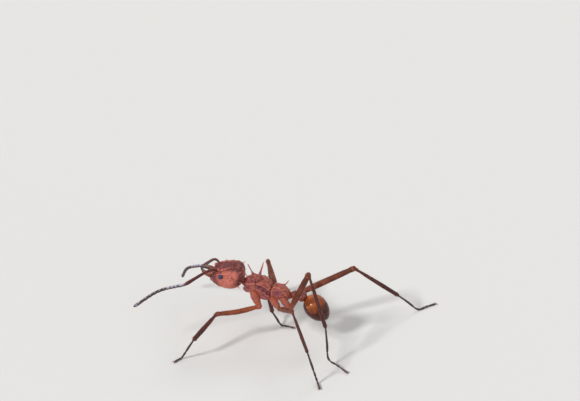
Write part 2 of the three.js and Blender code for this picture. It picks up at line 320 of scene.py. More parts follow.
def evaluated(mesh, *steps):
    """The mesh after modifiers, each added by one of the steps, as a plain mesh."""
    carrier = bpy.data.objects.new("carrier", mesh)
    bpy.context.scene.collection.objects.link(carrier)
    for step in steps:
        step(carrier)
    bpy.context.view_layer.update()
    depsgraph = bpy.context.evaluated_depsgraph_get()
    result = bpy.data.meshes.new_from_object(carrier.evaluated_get(depsgraph))
    bpy.data.objects.remove(carrier)
    bpy.data.meshes.remove(mesh)
    return result


def fusing(voxel, passes):
    """A step that melts touching shapes into one skin, and then smooths it."""

    def step(carrier):
        remesh = carrier.modifiers.new("Fuse", "REMESH")
        remesh.mode = "VOXEL"
        remesh.voxel_size = voxel
        smooth = carrier.modifiers.new("Smooth", "SMOOTH")
        smooth.factor = 0.5
        smooth.iterations = passes

    return step


def coordinates(mesh):
    points = np.empty(len(mesh.vertices) * 3)
    mesh.vertices.foreach_get("co", points)
    return points.reshape(-1, 3)


def normals(mesh):
    values = np.empty(len(mesh.vertices) * 3)
    mesh.vertex_normals.foreach_get("vector", values)
    return values.reshape(-1, 3)


def press(mesh, lines=(), dents=()):
    """Presses grooves along lines and hollows at places into a skin; below 0, it raises keels.

    Lines and places near the skin are first moved onto it."""
    points = coordinates(mesh)
    push = np.zeros(len(points))
    for line, width, depth in [*lines, *dents]:
        places = curve_through(line, 40) if np.ndim(line) == 2 else np.array([line])
        away = np.full(len(points), np.inf)
        for place in places:
            root = points[((points - place) ** 2).sum(axis=1).argmin()]
            away = np.minimum(away, ((points - root) ** 2).sum(axis=1))
        push += depth * np.exp(-away / width**2)
    raise_by(mesh, -push)


def both_sides(items):
    """The same lines or dents on the right and the left."""
    pairs = []
    for places, *rest in items:
        for sign in SIDES.values():
            pairs.append((np.asarray(places, float) * (1, sign, 1), *rest))
    return pairs


def store(mesh, name, values):
    """Keeps a value from 0 to 1 for each point, which a material reads by its name."""
    attribute = mesh.attributes.new(name, "FLOAT", "POINT")
    attribute.data.foreach_set("value", np.clip(values, 0, 1).astype(np.float32))


def ramp(values, start, width, least=0.0):
    """Rises to 1 over a width from the start, and is never below `least`."""
    return np.clip((values - start) / width, least, 1)


def bell(values, middle, width):
    """1 at the middle, about a third at the width away on both sides, and nearly 0 beyond twice that."""
    return np.exp(-(((values - middle) / width) ** 2))


def all_over(points):
    """For warts or hairs that leave no place bare."""
    return np.zeros(len(points))


def near(points, places, radius):
    """1 at the places, about a third at the radius away, and nearly 0 beyond twice that."""
    value = np.zeros(len(points))
    for place in places:
        away = np.linalg.norm(points - np.asarray(place), axis=1)
        value = np.maximum(value, bell(away, 0, radius))
    return value


def along_spines(points, rows):
    """1 on the shafts of the spines, which have no warts, and 0 elsewhere."""
    reach, edge = 0.1, 0.4
    places = []
    for foot, tip, _ in rows:
        for share in (0.35, 0.6, 0.85, 1.05):
            place = np.asarray(foot, float) * (1 - share) + np.asarray(tip, float) * share
            places += [place * (1, sign, 1) for sign in SIDES.values()]
    return near(points, places, reach) > edge


def relief(mesh):
    """How each point stands against the skin round it: 0.5 level, towards 1 on a bump and 0 in a
    crease."""
    passes, height = 60, 0.03
    points = coordinates(mesh)
    ends = np.empty(len(mesh.edges) * 2, np.int32)
    mesh.edges.foreach_get("vertices", ends)
    first, second = ends.reshape(-1, 2).T
    count = len(points)
    neighbours = np.bincount(ends, minlength=count)
    level = points.copy()
    for _ in range(passes):
        sums = [
            np.bincount(first, side[second], count) + np.bincount(second, side[first], count)
            for side in level.T
        ]
        level = (level + np.stack(sums, axis=1) / neighbours[:, None]) / 2
    stands = ((points - level) * normals(mesh)).sum(axis=1)
    return 0.5 + (stands - np.median(stands)) / height


def mark(mesh, **spots):
    """Stores how high each point stands, and marks of a name near places on both sides."""
    points = coordinates(mesh)
    store(mesh, "relief", relief(mesh))
    for name, (places, radius) in spots.items():
        both = [np.array(place) * (1, sign, 1) for place in places for sign in SIDES.values()]
        store(mesh, name, near(points, both, radius))


def raise_by(mesh, heights):
    """Moves each point out by its height."""
    points = coordinates(mesh) + normals(mesh) * heights[:, None]
    mesh.vertices.foreach_set("co", points.ravel())
    mesh.update()


def roughen(mesh, size, depth):
    """Raises a fine uneven grain with bumps of about this size."""
    fading, finer, octaves = 0.7, 2.2, 3
    places = coordinates(mesh) / size
    grain = np.array([noise.fractal(Vector(place), fading, finer, octaves) for place in places])
    raise_by(mesh, depth * grain)


def wrinkle(mesh, stations, count, depth, where):
    """Raises uneven ridges that run along a plate, as far as `where` says for each point."""
    sway_size, sway_share = 0.35, 5
    points = coordinates(mesh)
    line = curve_through(stations, 40)
    middle = np.interp(points[:, 0], line[:, 0], line[:, 1])
    turn = np.arctan2(points[:, 2] - middle, points[:, 1])
    sway = np.array([noise.noise(Vector(place)) for place in points / sway_size])
    wave = (0.5 + 0.5 * np.cos(count * turn + sway_share * sway)) ** 3
    raise_by(mesh, wave * depth * where(points))


def finished(name, mesh, finish, slot, *nodes):
    """Puts a mesh in body millimetres into the frame as a piece that stands for its nodes."""
    name += "_piece"
    mesh.transform(TO_FRAME)
    mesh.name = name
    mesh.materials.clear()
    mesh.materials.append(material(finish))
    mesh.polygons.foreach_set("use_smooth", np.ones(len(mesh.polygons), bool))
    mesh.polygons.foreach_set("material_index", np.zeros(len(mesh.polygons), np.int32))
    mesh.update()
    piece = bpy.data.objects.new(name, mesh)
    bpy.context.scene.collection.objects.link(piece)
    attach(piece, BODY)
    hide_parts(*nodes)


# ---- node trees --------------------------------------------------------------------------------


class Value:
    """A node's output, on which arithmetic adds Math nodes."""

    def __init__(self, tree, socket):
        self.tree = tree
        self.socket = socket

    def math(self, operation, *others):
        return self.tree.node("ShaderNodeMath", {"operation": operation}, [self, *others])

    def flipped(self, operation, other):
        return self.tree.node("ShaderNodeMath", {"operation": operation}, [other, self])

    def __add__(self, other):
        return self.math("ADD", other)

    def __sub__(self, other):
        return self.math("SUBTRACT", other)

    def __mul__(self, other):
        return self.math("MULTIPLY", other)

    def __truediv__(self, other):
        return self.math("DIVIDE", other)

    def __radd__(self, other):
        return self.flipped("ADD", other)

    def __rsub__(self, other):
        return self.flipped("SUBTRACT", other)

    def __rmul__(self, other):
        return self.flipped("MULTIPLY", other)

    def __rtruediv__(self, other):
        return self.flipped("DIVIDE", other)


class Tree:
    """Adds nodes to a shader or geometry tree."""

    def __init__(self, tree):
        self.tree = tree

    def node(self, kind, settings=None, values=(), output=0):
        """A node of one type: its settings first, then its sockets, by order or by name."""
        node = self.tree.nodes.new(kind)
        for name, value in (settings or {}).items():
            setattr(node, name, value)
        pairs = values.items() if isinstance(values, dict) else enumerate(values)
        for key, value in pairs:
            self.fill(node.inputs[key], value)
        return Value(self, node.outputs[output])

    def fill(self, socket, value):
        if isinstance(value, Value):
            self.tree.links.new(value.socket, socket)
        else:
            socket.default_value = value

    def vector(self, operation, *values, output=0):
        return self.node("ShaderNodeVectorMath", {"operation": operation}, values, output)

    def number(self, operation, *values):
        """Vector Math whose answer is a number."""
        return self.vector(operation, *values, output="Value")

    def combined(self, **parts):
        return self.node("ShaderNodeCombineXYZ", None, parts)


class Paint(Tree):
    """A procedural material on one Principled shader."""

    def __init__(self, name):
        self.material = bpy.data.materials.new(name)
        self.material.use_nodes = True
        super().__init__(self.material.node_tree)
        self.shader = self.tree.nodes["Principled BSDF"]
        self.place = self.node("ShaderNodeTexCoord", output="Object")

    def set(self, **sockets):
        for name, value in sockets.items():
            self.fill(self.shader.inputs[name.replace("_", " ")], value)

    def attribute(self, name):
        return self.node("ShaderNodeAttribute", {"attribute_name": name}, output="Fac")

    def noise(self, size_mm, detail, shift=0.0):
        """Cloudy noise from 0 to 1 with features of about this size."""
        place = self.vector("ADD", self.place, (shift, shift, shift)) if shift else self.place
        values = {"Vector": place, "Scale": 1 / (size_mm * MM), "Detail": detail, "Roughness": 0.55}
        return self.node("ShaderNodeTexNoise", None, values, "Fac")

    def cells(self, size_mm, feature="F1"):
        values = {"Vector": self.place, "Scale": 1 / (size_mm * MM)}
        return self.node("ShaderNodeTexVoronoi", {"feature": feature}, values, "Distance")

    def between(self, value, low, high):
        """0 below low, 1 above high and smooth in between."""
        settings = {"interpolation_type": "SMOOTHSTEP"}
        values = {"Value": value, "From Min": low, "From Max": high}
        return self.node("ShaderNodeMapRange", settings, values)

    def mix(self, share, first, second):
        """A colour that goes from first to second as share goes from 0 to 1."""
        factor, a, b, result = 0, 6, 7, 2  # where the node keeps its sockets for colours
        values = {factor: share, a: first, b: second}
        return self.node("ShaderNodeMix", {"data_type": "RGBA"}, values, result)

    def bump(self, height, distance_mm, strength=1.0):
        values = {"Strength": strength, "Distance": distance_mm * MM, "Height": height}
        self.set(Normal=self.node("ShaderNodeBump", None, values))


# ---- materials ---------------------------------------------------------------------------------


def colour(name):
    """A colour from the shell's settings."""
    return (*getattr(bpy.context.scene.ant_shell, name), 1.0)


def shade(base, share, lift=0.0):
    """A darker or paler colour: each part times its share, and lifted."""
    return (*(min(part * share + lift, 1.0) for part in base[:3]), 1.0)


def shell_material(name, base, dusk, glow, roughness, cells):
    """Matt shell: cloudy colour, painted shade in creases, dusky places, painted highlights on bumps
    and warm thin ends.

    It reads `relief` for the painted shade in creases and the painted highlights on bumps, `dusk`
    for dusky places (painted shade on the body, with a mauve sheen in its hollows; a darker tone
    on the limbs, with painted shade on the middle and hind femora), `tip` for thin, warm ends and
    `shine` for polished places."""
    paint = Paint(name)
    base, dusk, glow = colour(base), colour(dusk), colour(glow)
    cloud = paint.noise(0.55, 4.0)
    mottle = paint.noise(0.09, 3.0, shift=0.01)
    grain = paint.noise(0.02, 3.0, shift=0.02)
    net = (paint.cells(0.022, "DISTANCE_TO_EDGE") * 5).math("MINIMUM", 1.0)
    stands = paint.attribute("relief")
    freckled = paint.mix(paint.between(mottle, 0.5, 0.68) * 0.45, base, shade(base, 0.5))
    netted = paint.mix((1 - net) * 0.16, freckled, shade(base, 0.5))
    # Dusky share: random clouds, plus the places that `dusk` marks, where the body gets painted shade with a
    # mauve sheen.
    dusky = paint.between(cloud * 0.9 + mottle * 0.3 + paint.attribute("dusk") * 0.6, 0.6, 1.15)
    shaded = paint.mix(dusky, netted, dusk)
    # Painted highlight: bumps and ridges, where relief is high, turn paler.
    bump_highlighted = paint.mix(paint.between(stands, 0.58, 1.0) * 0.45, shaded, shade(base, 1.4, 0.03))
    # Painted shade: creases darken towards a near-black of the base colour.
    shadow = (base[0] * 0.2, base[1] * 0.14, base[2] * 0.14, 1.0)
    crease_shaded = paint.mix(paint.between(1 - stands, 0.56, 1.0) * 0.75, bump_highlighted, shadow)
    warm = paint.between(paint.attribute("tip") + mottle * 0.3, 0.4, 1.1)
    paint.set(Base_Color=paint.mix(warm * 0.8, crease_shaded, glow))
    paint.set(Roughness=grain * 0.14 + cloud * 0.14 + (roughness - 0.14), Specular_IOR_Level=0.28)
    paint.set(Coat_Weight=paint.attribute("shine") * 0.8, Coat_Roughness=0.12)
    paint.bump(grain * 0.35 + mottle * 0.5 + net * cells, 0.009)
    return paint.material


def horn_material(name, base, edge, roughness):
    """Dark satin horn of jaws, feet and claws, paler and redder where `tip` says."""
    paint = Paint(name)
    cloud = paint.noise(0.3, 3.0)
    grain = paint.noise(0.03, 2.0)
    share = paint.between(paint.attribute("tip") + cloud * 0.35, 0.35, 1.05)
    paint.set(Base_Color=paint.mix(share, colour(base), colour(edge)))
    paint.set(Roughness=grain * 0.2 + (roughness - 0.1), Specular_IOR_Level=0.5)
    paint.bump(grain, 0.006)
    return paint.material


def feeler_material(name):
    """Dark feeler segments under a pale grey-violet bloom on their tops: partly very short pale hairs and
    partly a painted highlight.
    """
    paint = Paint(name)
    cloud = paint.noise(0.2, 3.0)
    grain = paint.noise(0.02, 2.0)
    share = paint.between(paint.attribute("bloom") + cloud * 0.3, 0.25, 1.05)
    paint.set(Base_Color=paint.mix(share, colour("horn"), colour("feeler_bloom")))
    paint.set(Roughness=grain * 0.2 + 0.35, Specular_IOR_Level=0.5)
    paint.bump(grain, 0.006)
    return paint.material


def gaster_material(name):
    """Polished gaster: orange-brown in front, with painted shade that turns it dark red-brown behind,
    underneath and along its joints.
    """
    paint = Paint(name)
    cloud = paint.noise(0.45, 4.0)
    mottle = paint.noise(0.07, 3.0)
    bright, dark = colour("gaster_front"), colour("gaster_rear")
    freckled = paint.mix(paint.between(mottle, 0.5, 0.7) * 0.5, bright, dark)
    # Painted shade: darker towards the rear and underneath, where `dusk` says, broken by clouds.
    shaded_behind = paint.mix(paint.between(paint.attribute("dusk") + cloud * 0.8, 0.45, 0.95), freckled, dark)
    # Painted shade in the creases and along the joints.
    crease_shade = paint.between(1 - paint.attribute("relief"), 0.56, 0.95) * 0.8
    paint.set(Base_Color=paint.mix(crease_shade, shaded_behind, dark))
    paint.set(Roughness=mottle * 0.1 + 0.24, Specular_IOR_Level=0.22)
    paint.set(Coat_Weight=paint.attribute("shine") * 0.8 + 0.14, Coat_Roughness=0.1)
    paint.bump(mottle, 0.002)
    return paint.material


def eye_material(name):
    """Blue-black lens with a painted sheen that turns its middle blue, and which shines like wet glass."""
    paint = Paint(name)
    cloud = paint.noise(0.1, 2.0)
    edge = colour("eye")
    # Painted sheen: the middle's colour, bluer than the edge.
    middle = (edge[0] * 1.6, edge[1] * 2.4, edge[2] * 3.8, 1.0)
    share = paint.between(paint.attribute("middle") * (cloud * 0.4 + 0.75), 0.42, 1.0)
    paint.set(Base_Color=paint.mix(share, edge, middle))
    paint.set(Roughness=cloud * 0.08 + 0.2, Specular_IOR_Level=0.3)
    paint.set(Coat_Weight=0.18, Coat_Roughness=0.05)
    paint.bump(paint.cells(0.018), 0.004, 0.5)
    return paint.material


def hair_material(name):
    """Short stiff hairs, brown at the root and straw-coloured at the tip."""
    paint = Paint(name)
    tone = paint.noise(0.4, 2.0)
    share = paint.attribute("tip") * 0.8 + tone * 0.2
    paint.set(Base_Color=paint.mix(share, colour("hair_root"), colour("hair_tip")))
    paint.set(Roughness=tone * 0.1 + 0.45)
    return paint.material


# Each finish's maker and its looks. For a shell they are its colours when level, in dusky places
# (painted shade on the body, with a mauve sheen in its hollows) and at thin ends, its roughness
# and how far its cells stand out; for horn, its colour, its edge's colour and its roughness.
FINISHES = {
    "trunk_finish": (shell_material, "trunk", "body_dusk", "body_glow", 0.48, 0.4),
    "head_finish": (shell_material, "body", "head_dusk", "body_glow", 0.46, 0.5),
    "coxa_finish": (shell_material, "coxa", "body_dusk", "body_glow", 0.46, 0.3),
    "waist_finish": (shell_material, "waist", "head_dusk", "body", 0.4, 0.3),
    "femur_finish": (shell_material, "femur", "femur_dusk", "body_glow", 0.44, 0.25),
    "shin_finish": (shell_material, "shin", "shin_dusk", "femur", 0.42, 0.25),
    "foot_finish": (horn_material, "horn", "shin", 0.38),
    "jaw_finish": (horn_material, "horn", "waist", 0.3),
    "feeler_finish": (feeler_material,),
    "gaster_finish": (gaster_material,),
    "eye_finish": (eye_material,),
    "hair_finish": (hair_material,),
}


def material(name):
    """A finish by its name, made the first time it is asked for."""
    maker, *looks = FINISHES[name]
    return bpy.data.materials.get(name) or maker(name, *looks)


# ---- geometry nodes ----------------------------------------------------------------------------


class Growth(Tree):
    """A geometry tree with a mesh in and out, and named inputs with their defaults."""

    def __init__(self, name, sockets):
        super().__init__(bpy.data.node_groups.new(name, "GeometryNodeTree"))
        interface = self.tree.interface
        for way in ("INPUT", "OUTPUT"):
            interface.new_socket("Geometry", in_out=way, socket_type="NodeSocketGeometry")
        for socket_name, (kind, default) in sockets.items():
            socket = interface.new_socket(socket_name, in_out="INPUT", socket_type=kind)
            if default is not None:
                socket.default_value = default
        source = self.tree.nodes.new("NodeGroupInput")
        self.inputs = {socket.name: Value(self, socket) for socket in source.outputs if socket.name}

    def keep(self, geometry, name, value, kind="FLOAT_VECTOR", domain="POINT"):
        """Stores a value on the geometry under a name."""
        settings = {"data_type": kind, "domain": domain}
        values = {"Geometry": geometry, "Name": name, "Value": value}
        return self.node("GeometryNodeStoreNamedAttribute", settings, values)

    def kept(self, name, kind="FLOAT_VECTOR"):
        return self.node("GeometryNodeInputNamedAttribute", {"data_type": kind}, {"Name": name}, "Attribute")

    def chance(self, low, high):
        """A random number between two, for each copy."""
        least, most, result = 2, 3, 1  # where the node keeps its sockets for numbers
        values = {least: low, most: high, "Seed": self.inputs["Seed"]}
        return self.node("FunctionNodeRandomValue", {"data_type": "FLOAT"}, values, result)

    def realized(self, geometry):
        return self.node("GeometryNodeRealizeInstances", None, [geometry])

    def scattered(self, shape):
        """Random roots on the skin, thinned by its `bare` value, each with a copy of the shape."""
        inputs = self.inputs
        density = inputs["Density"] * (1 - self.kept("bare", "FLOAT"))
        roots = self.tree.nodes.new("GeometryNodeDistributePointsOnFaces")
        for name, value in (("Mesh", inputs["Geometry"]), ("Density", density), ("Seed", inputs["Seed"])):
            self.fill(roots.inputs[name], value)
        leaning = self.vector("ADD", Value(self, roots.outputs["Normal"]), inputs["Lean"])
        turned = self.node("FunctionNodeAlignRotationToVector", {"axis": "Z"}, {"Vector": leaning})
        spin = self.combined(Z=self.chance(0.0, math.tau))
        spun = self.node("FunctionNodeRotateRotation", {"rotation_space": "LOCAL"}, [turned, spin])
        size = self.chance(inputs["Smallest"], inputs["Largest"])
        place = self.node("GeometryNodeInputPosition")
        marked = self.keep(Value(self, roots.outputs["Points"]), "root", place)
        values = {"Points": marked, "Instance": shape, "Rotation": spun, "Scale": size}
        return self.node("GeometryNodeInstanceOnPoints", None, values)

    def close(self, shape):
        """Ends the tree with Realize Instances and Set Material."""
        values = {"Geometry": self.realized(shape), "Material": self.inputs["Finish"]}
        painted = self.node("GeometryNodeSetMaterial", None, values)
        output = self.tree.nodes.new("NodeGroupOutput")
        self.tree.links.new(painted.socket, output.inputs[0])
        return self.tree


def growing(group, values):
    """A step that adds a geometry tree and sets its inputs by their identifiers."""

    def step(carrier):
        modifier = carrier.modifiers.new(group.name, "NODES")
        modifier.node_group = group
        for item in group.interface.items_tree:
            if item.in_out == "INPUT" and item.name in values:
                modifier[item.identifier] = values[item.name]

    return step


FLOAT, INTEGER, VECTOR = "NodeSocketFloat", "NodeSocketInt", "NodeSocketVector"
MATERIAL = "NodeSocketMaterial"


def wart_tree():
    """Small blunt cones scattered over a skin, kept with the skin."""
    tree = Growth("Warts", {
        "Density": (FLOAT, 6.0),
        "Radius": (FLOAT, 0.05),
        "Height": (FLOAT, 0.06),
        "Smallest": (FLOAT, 0.6),
        "Largest": (FLOAT, 1.2),
        "Lean": (VECTOR, (0.0, 0.0, 0.0)),
        "Seed": (INTEGER, 3),
        "Finish": (MATERIAL, None),
    })
    radius, height = tree.inputs["Radius"], tree.inputs["Height"]
    sizes = {"Vertices": 8, "Side Segments": 2, "Depth": height * 2}
    sizes |= {"Radius Top": radius * 0.14, "Radius Bottom": radius}
    cone = tree.node("GeometryNodeMeshCone", None, sizes, "Mesh")
    drop = tree.combined(Z=height * -1)
    sunk = tree.node("GeometryNodeTransform", None, {"Geometry": cone, "Translation": drop})
    warts = tree.realized(tree.scattered(sunk))
    joined = tree.tree.nodes.new("GeometryNodeJoinGeometry")
    for shape in (tree.inputs["Geometry"], warts):
        tree.tree.links.new(shape.socket, joined.inputs[0])
    return tree.close(Value(tree, joined.outputs[0]))


def hair_map(tree):
    """Where each point of a hair lies on the bake's map.

    The map unwraps the skin round its own axis, into the strip that Low and High give, and each
    hair has a small patch of its own there."""
    inputs = tree.inputs
    patch, end_margin, seam_margin = 0.003, 0.03, 0.01
    start, low = inputs["Axis Start"], inputs["Low"]
    axis = tree.vector("SUBTRACT", inputs["Axis End"], start)
    heading = tree.vector("NORMALIZE", axis)
    step = tree.vector("SUBTRACT", tree.kept("root"), start)
    share = tree.number("DOT_PRODUCT", step, heading) / tree.number("LENGTH", axis)
    slanted = (0.11, 0.17, 0.98)  # a way that no limb runs exactly
    own = tree.kept("own_place")
    side = tree.vector("NORMALIZE", tree.vector("CROSS_PRODUCT", heading, slanted))
    rise = tree.vector("CROSS_PRODUCT", heading, side)
    turn = tree.number("DOT_PRODUCT", step, rise).math("ARCTAN2", tree.number("DOT_PRODUCT", step, side))
    x, y, z = (tree.node("ShaderNodeSeparateXYZ", None, [own], part) for part in "XYZ")
    within = share.math("MAXIMUM", 0.0).math("MINIMUM", 1.0) * (1 - 2 * end_margin) + end_margin
    along = low + (inputs["High"] - low) * within + z / inputs["Length"] * patch
    around = turn / math.tau * (1 - 2 * seam_margin) + 0.5 + (x + y) / inputs["Length"] * patch
    return tree.combined(X=along, Y=around)


def hair_tree():
    """Tapered bent hairs over a skin, with their own map for the bake."""
    tree = Growth("Hairs", {
        "Density": (FLOAT, 20.0),
        "Length": (FLOAT, 0.12),
        "Radius": (FLOAT, 0.006),
        "Smallest": (FLOAT, 0.55),
        "Largest": (FLOAT, 1.25),
        "Lean": (VECTOR, (0.4, 0.0, 0.0)),
        "Axis Start": (VECTOR, (0.0, 0.0, 0.0)),
        "Axis End": (VECTOR, (1.0, 0.0, 0.0)),
        "Low": (FLOAT, 0.0),
        "High": (FLOAT, 1.0),
        "Seed": (INTEGER, 11),
        "Finish": (MATERIAL, None),
    })
    length = tree.inputs["Length"]
    bend = {
        "Resolution": 3,
        "Start": tree.combined(Z=length * -0.1),
        "Middle": tree.combined(Z=length * 0.6),
        "End": tree.combined(X=length * 0.3, Z=length),
    }
    line = tree.node("GeometryNodeCurveQuadraticBezier", None, bend)
    along = tree.node("GeometryNodeSplineParameter", output="Factor")
    marked = tree.keep(line, "tip", along, "FLOAT")
    triangle = {"Resolution": 3, "Radius": 1.0}
    section = tree.node("GeometryNodeCurvePrimitiveCircle", {"mode": "RADIUS"}, triangle)
    taper = tree.inputs["Radius"] * (1.08 - along)
    body = {"Curve": marked, "Profile Curve": section, "Scale": taper, "Fill Caps": True}
    hair = tree.node("GeometryNodeCurveToMesh", None, body)
    shaped = tree.keep(hair, "own_place", tree.node("GeometryNodeInputPosition"))
    real = tree.realized(tree.scattered(shaped))
    mapped = tree.keep(real, "OFBake", hair_map(tree), "FLOAT2", "CORNER")
    for name in ("root", "own_place"):
        mapped = tree.node("GeometryNodeRemoveAttribute", None, {"Geometry": mapped, "Name": name})
    return tree.close(mapped)


def tree_named(name, maker):
    return bpy.data.node_groups.get(name) or maker()


# ---- sclerites ---------------------------------------------------------------------------------

# A plate's stations along the middle plane: x, z, half width and half height.
HEAD_STATIONS = [
    (-3.2, 3.6, 0.26, 0.14),
    (-3.05, 3.6, 0.52, 0.3),
    (-2.72, 3.61, 0.78, 0.48),
    (-2.3, 3.64, 0.95, 0.61),
    (-1.9, 3.68, 1.0, 0.65),
    (-1.56, 3.72, 0.84, 0.55),
    (-1.38, 3.74, 0.5, 0.34),
]
# Spines come in pairs; places are for the right one: foot, tip and radius.
HEAD_SPINES = [
    ((-1.56, 0.5, 4.04), (-1.34, 0.57, 4.25), 0.09),
    ((-1.8, 0.24, 4.16), (-1.73, 0.27, 4.36), 0.07),
    ((-2.38, 0.46, 4.12), (-2.41, 0.51, 4.33), 0.07),
    ((-2.12, 0.66, 4.0), (-2.1, 0.76, 4.17), 0.06),
    ((-2.0, 0.4, 4.18), (-1.96, 0.43, 4.33), 0.06),
    ((-1.62, 0.72, 3.9), (-1.46, 0.83, 4.0), 0.06),
    ((-1.46, 0.66, 3.62), (-1.31, 0.74, 3.66), 0.055),
    ((-1.56, 0.7, 3.42), (-1.36, 0.8, 3.31), 0.08),
    ((-1.86, 0.9, 3.95), (-1.8, 0.99, 4.04), 0.05),
    ((-2.28, 0.2, 4.2), (-2.27, 0.21, 4.32), 0.05),
    ((-1.52, 0.2, 4.02), (-1.4, 0.22, 4.14), 0.055),
    ((-1.92, 0.93, 3.86), (-1.9, 1.02, 3.9), 0.05),
    ((-1.72, 0.87, 3.86), (-1.66, 0.95, 3.9), 0.055),
    ((-1.74, 0.92, 3.68), (-1.68, 1.0, 3.67), 0.05),
    ((-1.6, 0.8, 3.74), (-1.53, 0.88, 3.75), 0.05),
    ((-2.06, 0.91, 3.98), (-2.05, 0.99, 4.03), 0.045),
]
FRONTAL_TOOTH = ((-2.58, 0.34, 3.98), (-2.64, 0.42, 4.17), 0.12)
PALP = ((-3.02, 0.13, 3.34), (-3.22, 0.17, 3.27), 0.05)
# Rounded lobes: middle and radii along, across and up. They come in pairs, but the clypeus and
# the labrum stand on the middle line.
HEAD_LOBES = {
    "occiput": ((-1.76, 0.46, 3.8), (0.4, 0.43, 0.43)),
    "cheek": ((-2.35, 0.62, 3.66), (0.5, 0.3, 0.42)),
    "frontal_lobe": ((-2.7, 0.3, 3.98), (0.3, 0.16, 0.12)),
    "maxilla": ((-3.0, 0.15, 3.38), (0.17, 0.09, 0.08)),
}
CLYPEUS = ((-3.0, 0, 3.76), (0.22, 0.3, 0.14))
LABRUM = ((-3.08, 0, 3.5), (0.13, 0.17, 0.1))
EYE_SOCKET = (-2.44, 0.86, 3.9)
EYE_RADIUS = 0.135
EYE_RIM = [
    (-2.44 + 0.16 * math.cos(a), 0.82 + 0.05 * math.sin(a), 3.93 + 0.16 * math.sin(a))
    for a in np.linspace(0, 2 * math.pi, 13)
]
# Pressed lines with their widths and depths; a depth below 0 raises a keel.
HEAD_LINES = {
    "throat": ([(-1.3, 0, 3.2), (-1.9, 0, 3.03), (-2.5, 0, 3.06), (-3.0, 0, 3.3)], 0.03, 0.02),
    "frontal_triangle": ([(-3.1, 0.22, 3.86), (-2.9, 0.18, 4.0), (-2.7, 0.02, 4.1)], 0.03, 0.03),
    "crown": ([(-1.4, 0, 3.9), (-1.6, 0, 4.12), (-2.0, 0, 4.24)], 0.1, 0.05),
    "eye_rim": (EYE_RIM, 0.025, 0.014),
    "frontal_keel": (
        [(-2.92, 0.3, 3.98), (-2.62, 0.44, 4.13), (-2.3, 0.4, 4.2), (-1.9, 0.3, 4.22)], 0.045, -0.045
    ),
    "brow": ([(-2.8, 0.62, 3.94), (-2.5, 0.72, 4.06), (-2.2, 0.68, 4.06), (-1.95, 0.6, 4.16)], 0.04, -0.03),
    "mouth": ([(-3.2, 0, 3.58), (-3.1, 0.25, 3.54), (-2.9, 0.5, 3.5)], 0.045, 0.06),
    "clypeus_ridge": (
        [(-3.14, 0, 3.7), (-3.08, 0.2, 3.76), (-2.98, 0.4, 3.84), (-2.86, 0.56, 3.78)], 0.035, -0.03
    ),
}
# Pressed hollows with their radii and depths; a depth below 0 raises a swelling.
HEAD_HOLLOWS = {
    "before_brow": ((-2.52, 0.56, 4.1), 0.09, 0.04),
    "crown": ((-2.1, 0.5, 4.25), 0.12, 0.03),
    "socket": (FEELER_SOCKET, 0.08, 0.07),
    "socket_ring": (FEELER_SOCKET, 0.14, -0.045),
    "jaw_pit": ((-3.0, 0.36, 3.66), 0.17, 0.06),
}
# Where the head is dusky, partly its own darker tone and partly painted shade: on its crown, on its front and
# beside its rear.
HEAD_DUSK_AND_SHADE = [
    (-2.7, 0.25, 4.12), (-2.3, 0.15, 4.28), (-1.9, 0.25, 4.28), (-1.5, 0.3, 4.12), (-1.32, 0.5, 3.9),
    (-3.0, 0.4, 3.62), (-2.95, 0, 3.86), (-3.0, 0.2, 3.45), (-2.84, 0.64, 3.8), (-2.78, 0.7, 3.62),
    (-1.4, 0.62, 3.7),
]
TRUNK_STATIONS = [
    (-1.5, 3.33, 0.15, 0.15),
    (-1.32, 3.31, 0.21, 0.21),
    (-1.14, 3.28, 0.44, 0.36),
    (-0.9, 3.25, 0.58, 0.46),
    (-0.68, 3.21, 0.55, 0.48),
    (-0.5, 3.15, 0.48, 0.52),
    (-0.28, 3.07, 0.48, 0.58),
    (-0.02, 2.98, 0.43, 0.51),
    (0.16, 2.91, 0.37, 0.4),
    (0.3, 2.88, 0.37, 0.4),
    (0.6, 2.87, 0.42, 0.45),
    (0.9, 2.79, 0.38, 0.4),
    (1.12, 2.69, 0.27, 0.28),
    (1.24, 2.66, 0.14, 0.15),
]
TRUNK_SPINES = {
    "pronotum_lateral": ((-0.84, 0.36, 3.52), (-1.2, 0.44, 4.17), 0.11),
    "pronotum_inferior": ((-1.02, 0.44, 3.14), (-1.32, 0.52, 3.27), 0.08),
    "pronotum_inner": ((-0.72, 0.2, 3.6), (-0.78, 0.24, 3.75), 0.055),
    "mesonotum_anterior": ((-0.54, 0.2, 3.54), (-0.39, 0.8, 4.17), 0.15),
    "mesonotum_posterior": ((-0.12, 0.22, 3.36), (-0.01, 0.33, 3.71), 0.09),
    "mesonotum_outer": ((-0.3, 0.34, 3.5), (-0.26, 0.4, 3.65), 0.055),
    "propodeum_dorsal": ((0.78, 0.22, 3.06), (1.06, 0.45, 3.36), 0.1),
    "propodeum_front": ((0.42, 0.2, 3.24), (0.42, 0.24, 3.36), 0.05),
    "propodeum_rear": ((0.98, 0.3, 2.86), (1.1, 0.38, 2.92), 0.045),
}
TRUNK_LOBES = {
    "propleuron": ((-1.06, 0.2, 3.0), (0.26, 0.17, 0.2)),
    "shoulder": ((-0.8, 0.36, 3.44), (0.22, 0.16, 0.14)),
    "mesonotum": ((-0.42, 0.26, 3.46), (0.32, 0.2, 0.16)),
    "mesosternum": ((-0.12, 0.3, 2.68), (0.34, 0.17, 0.2)),
    "metapleuron": ((0.9, 0.27, 2.62), (0.22, 0.14, 0.14)),
}
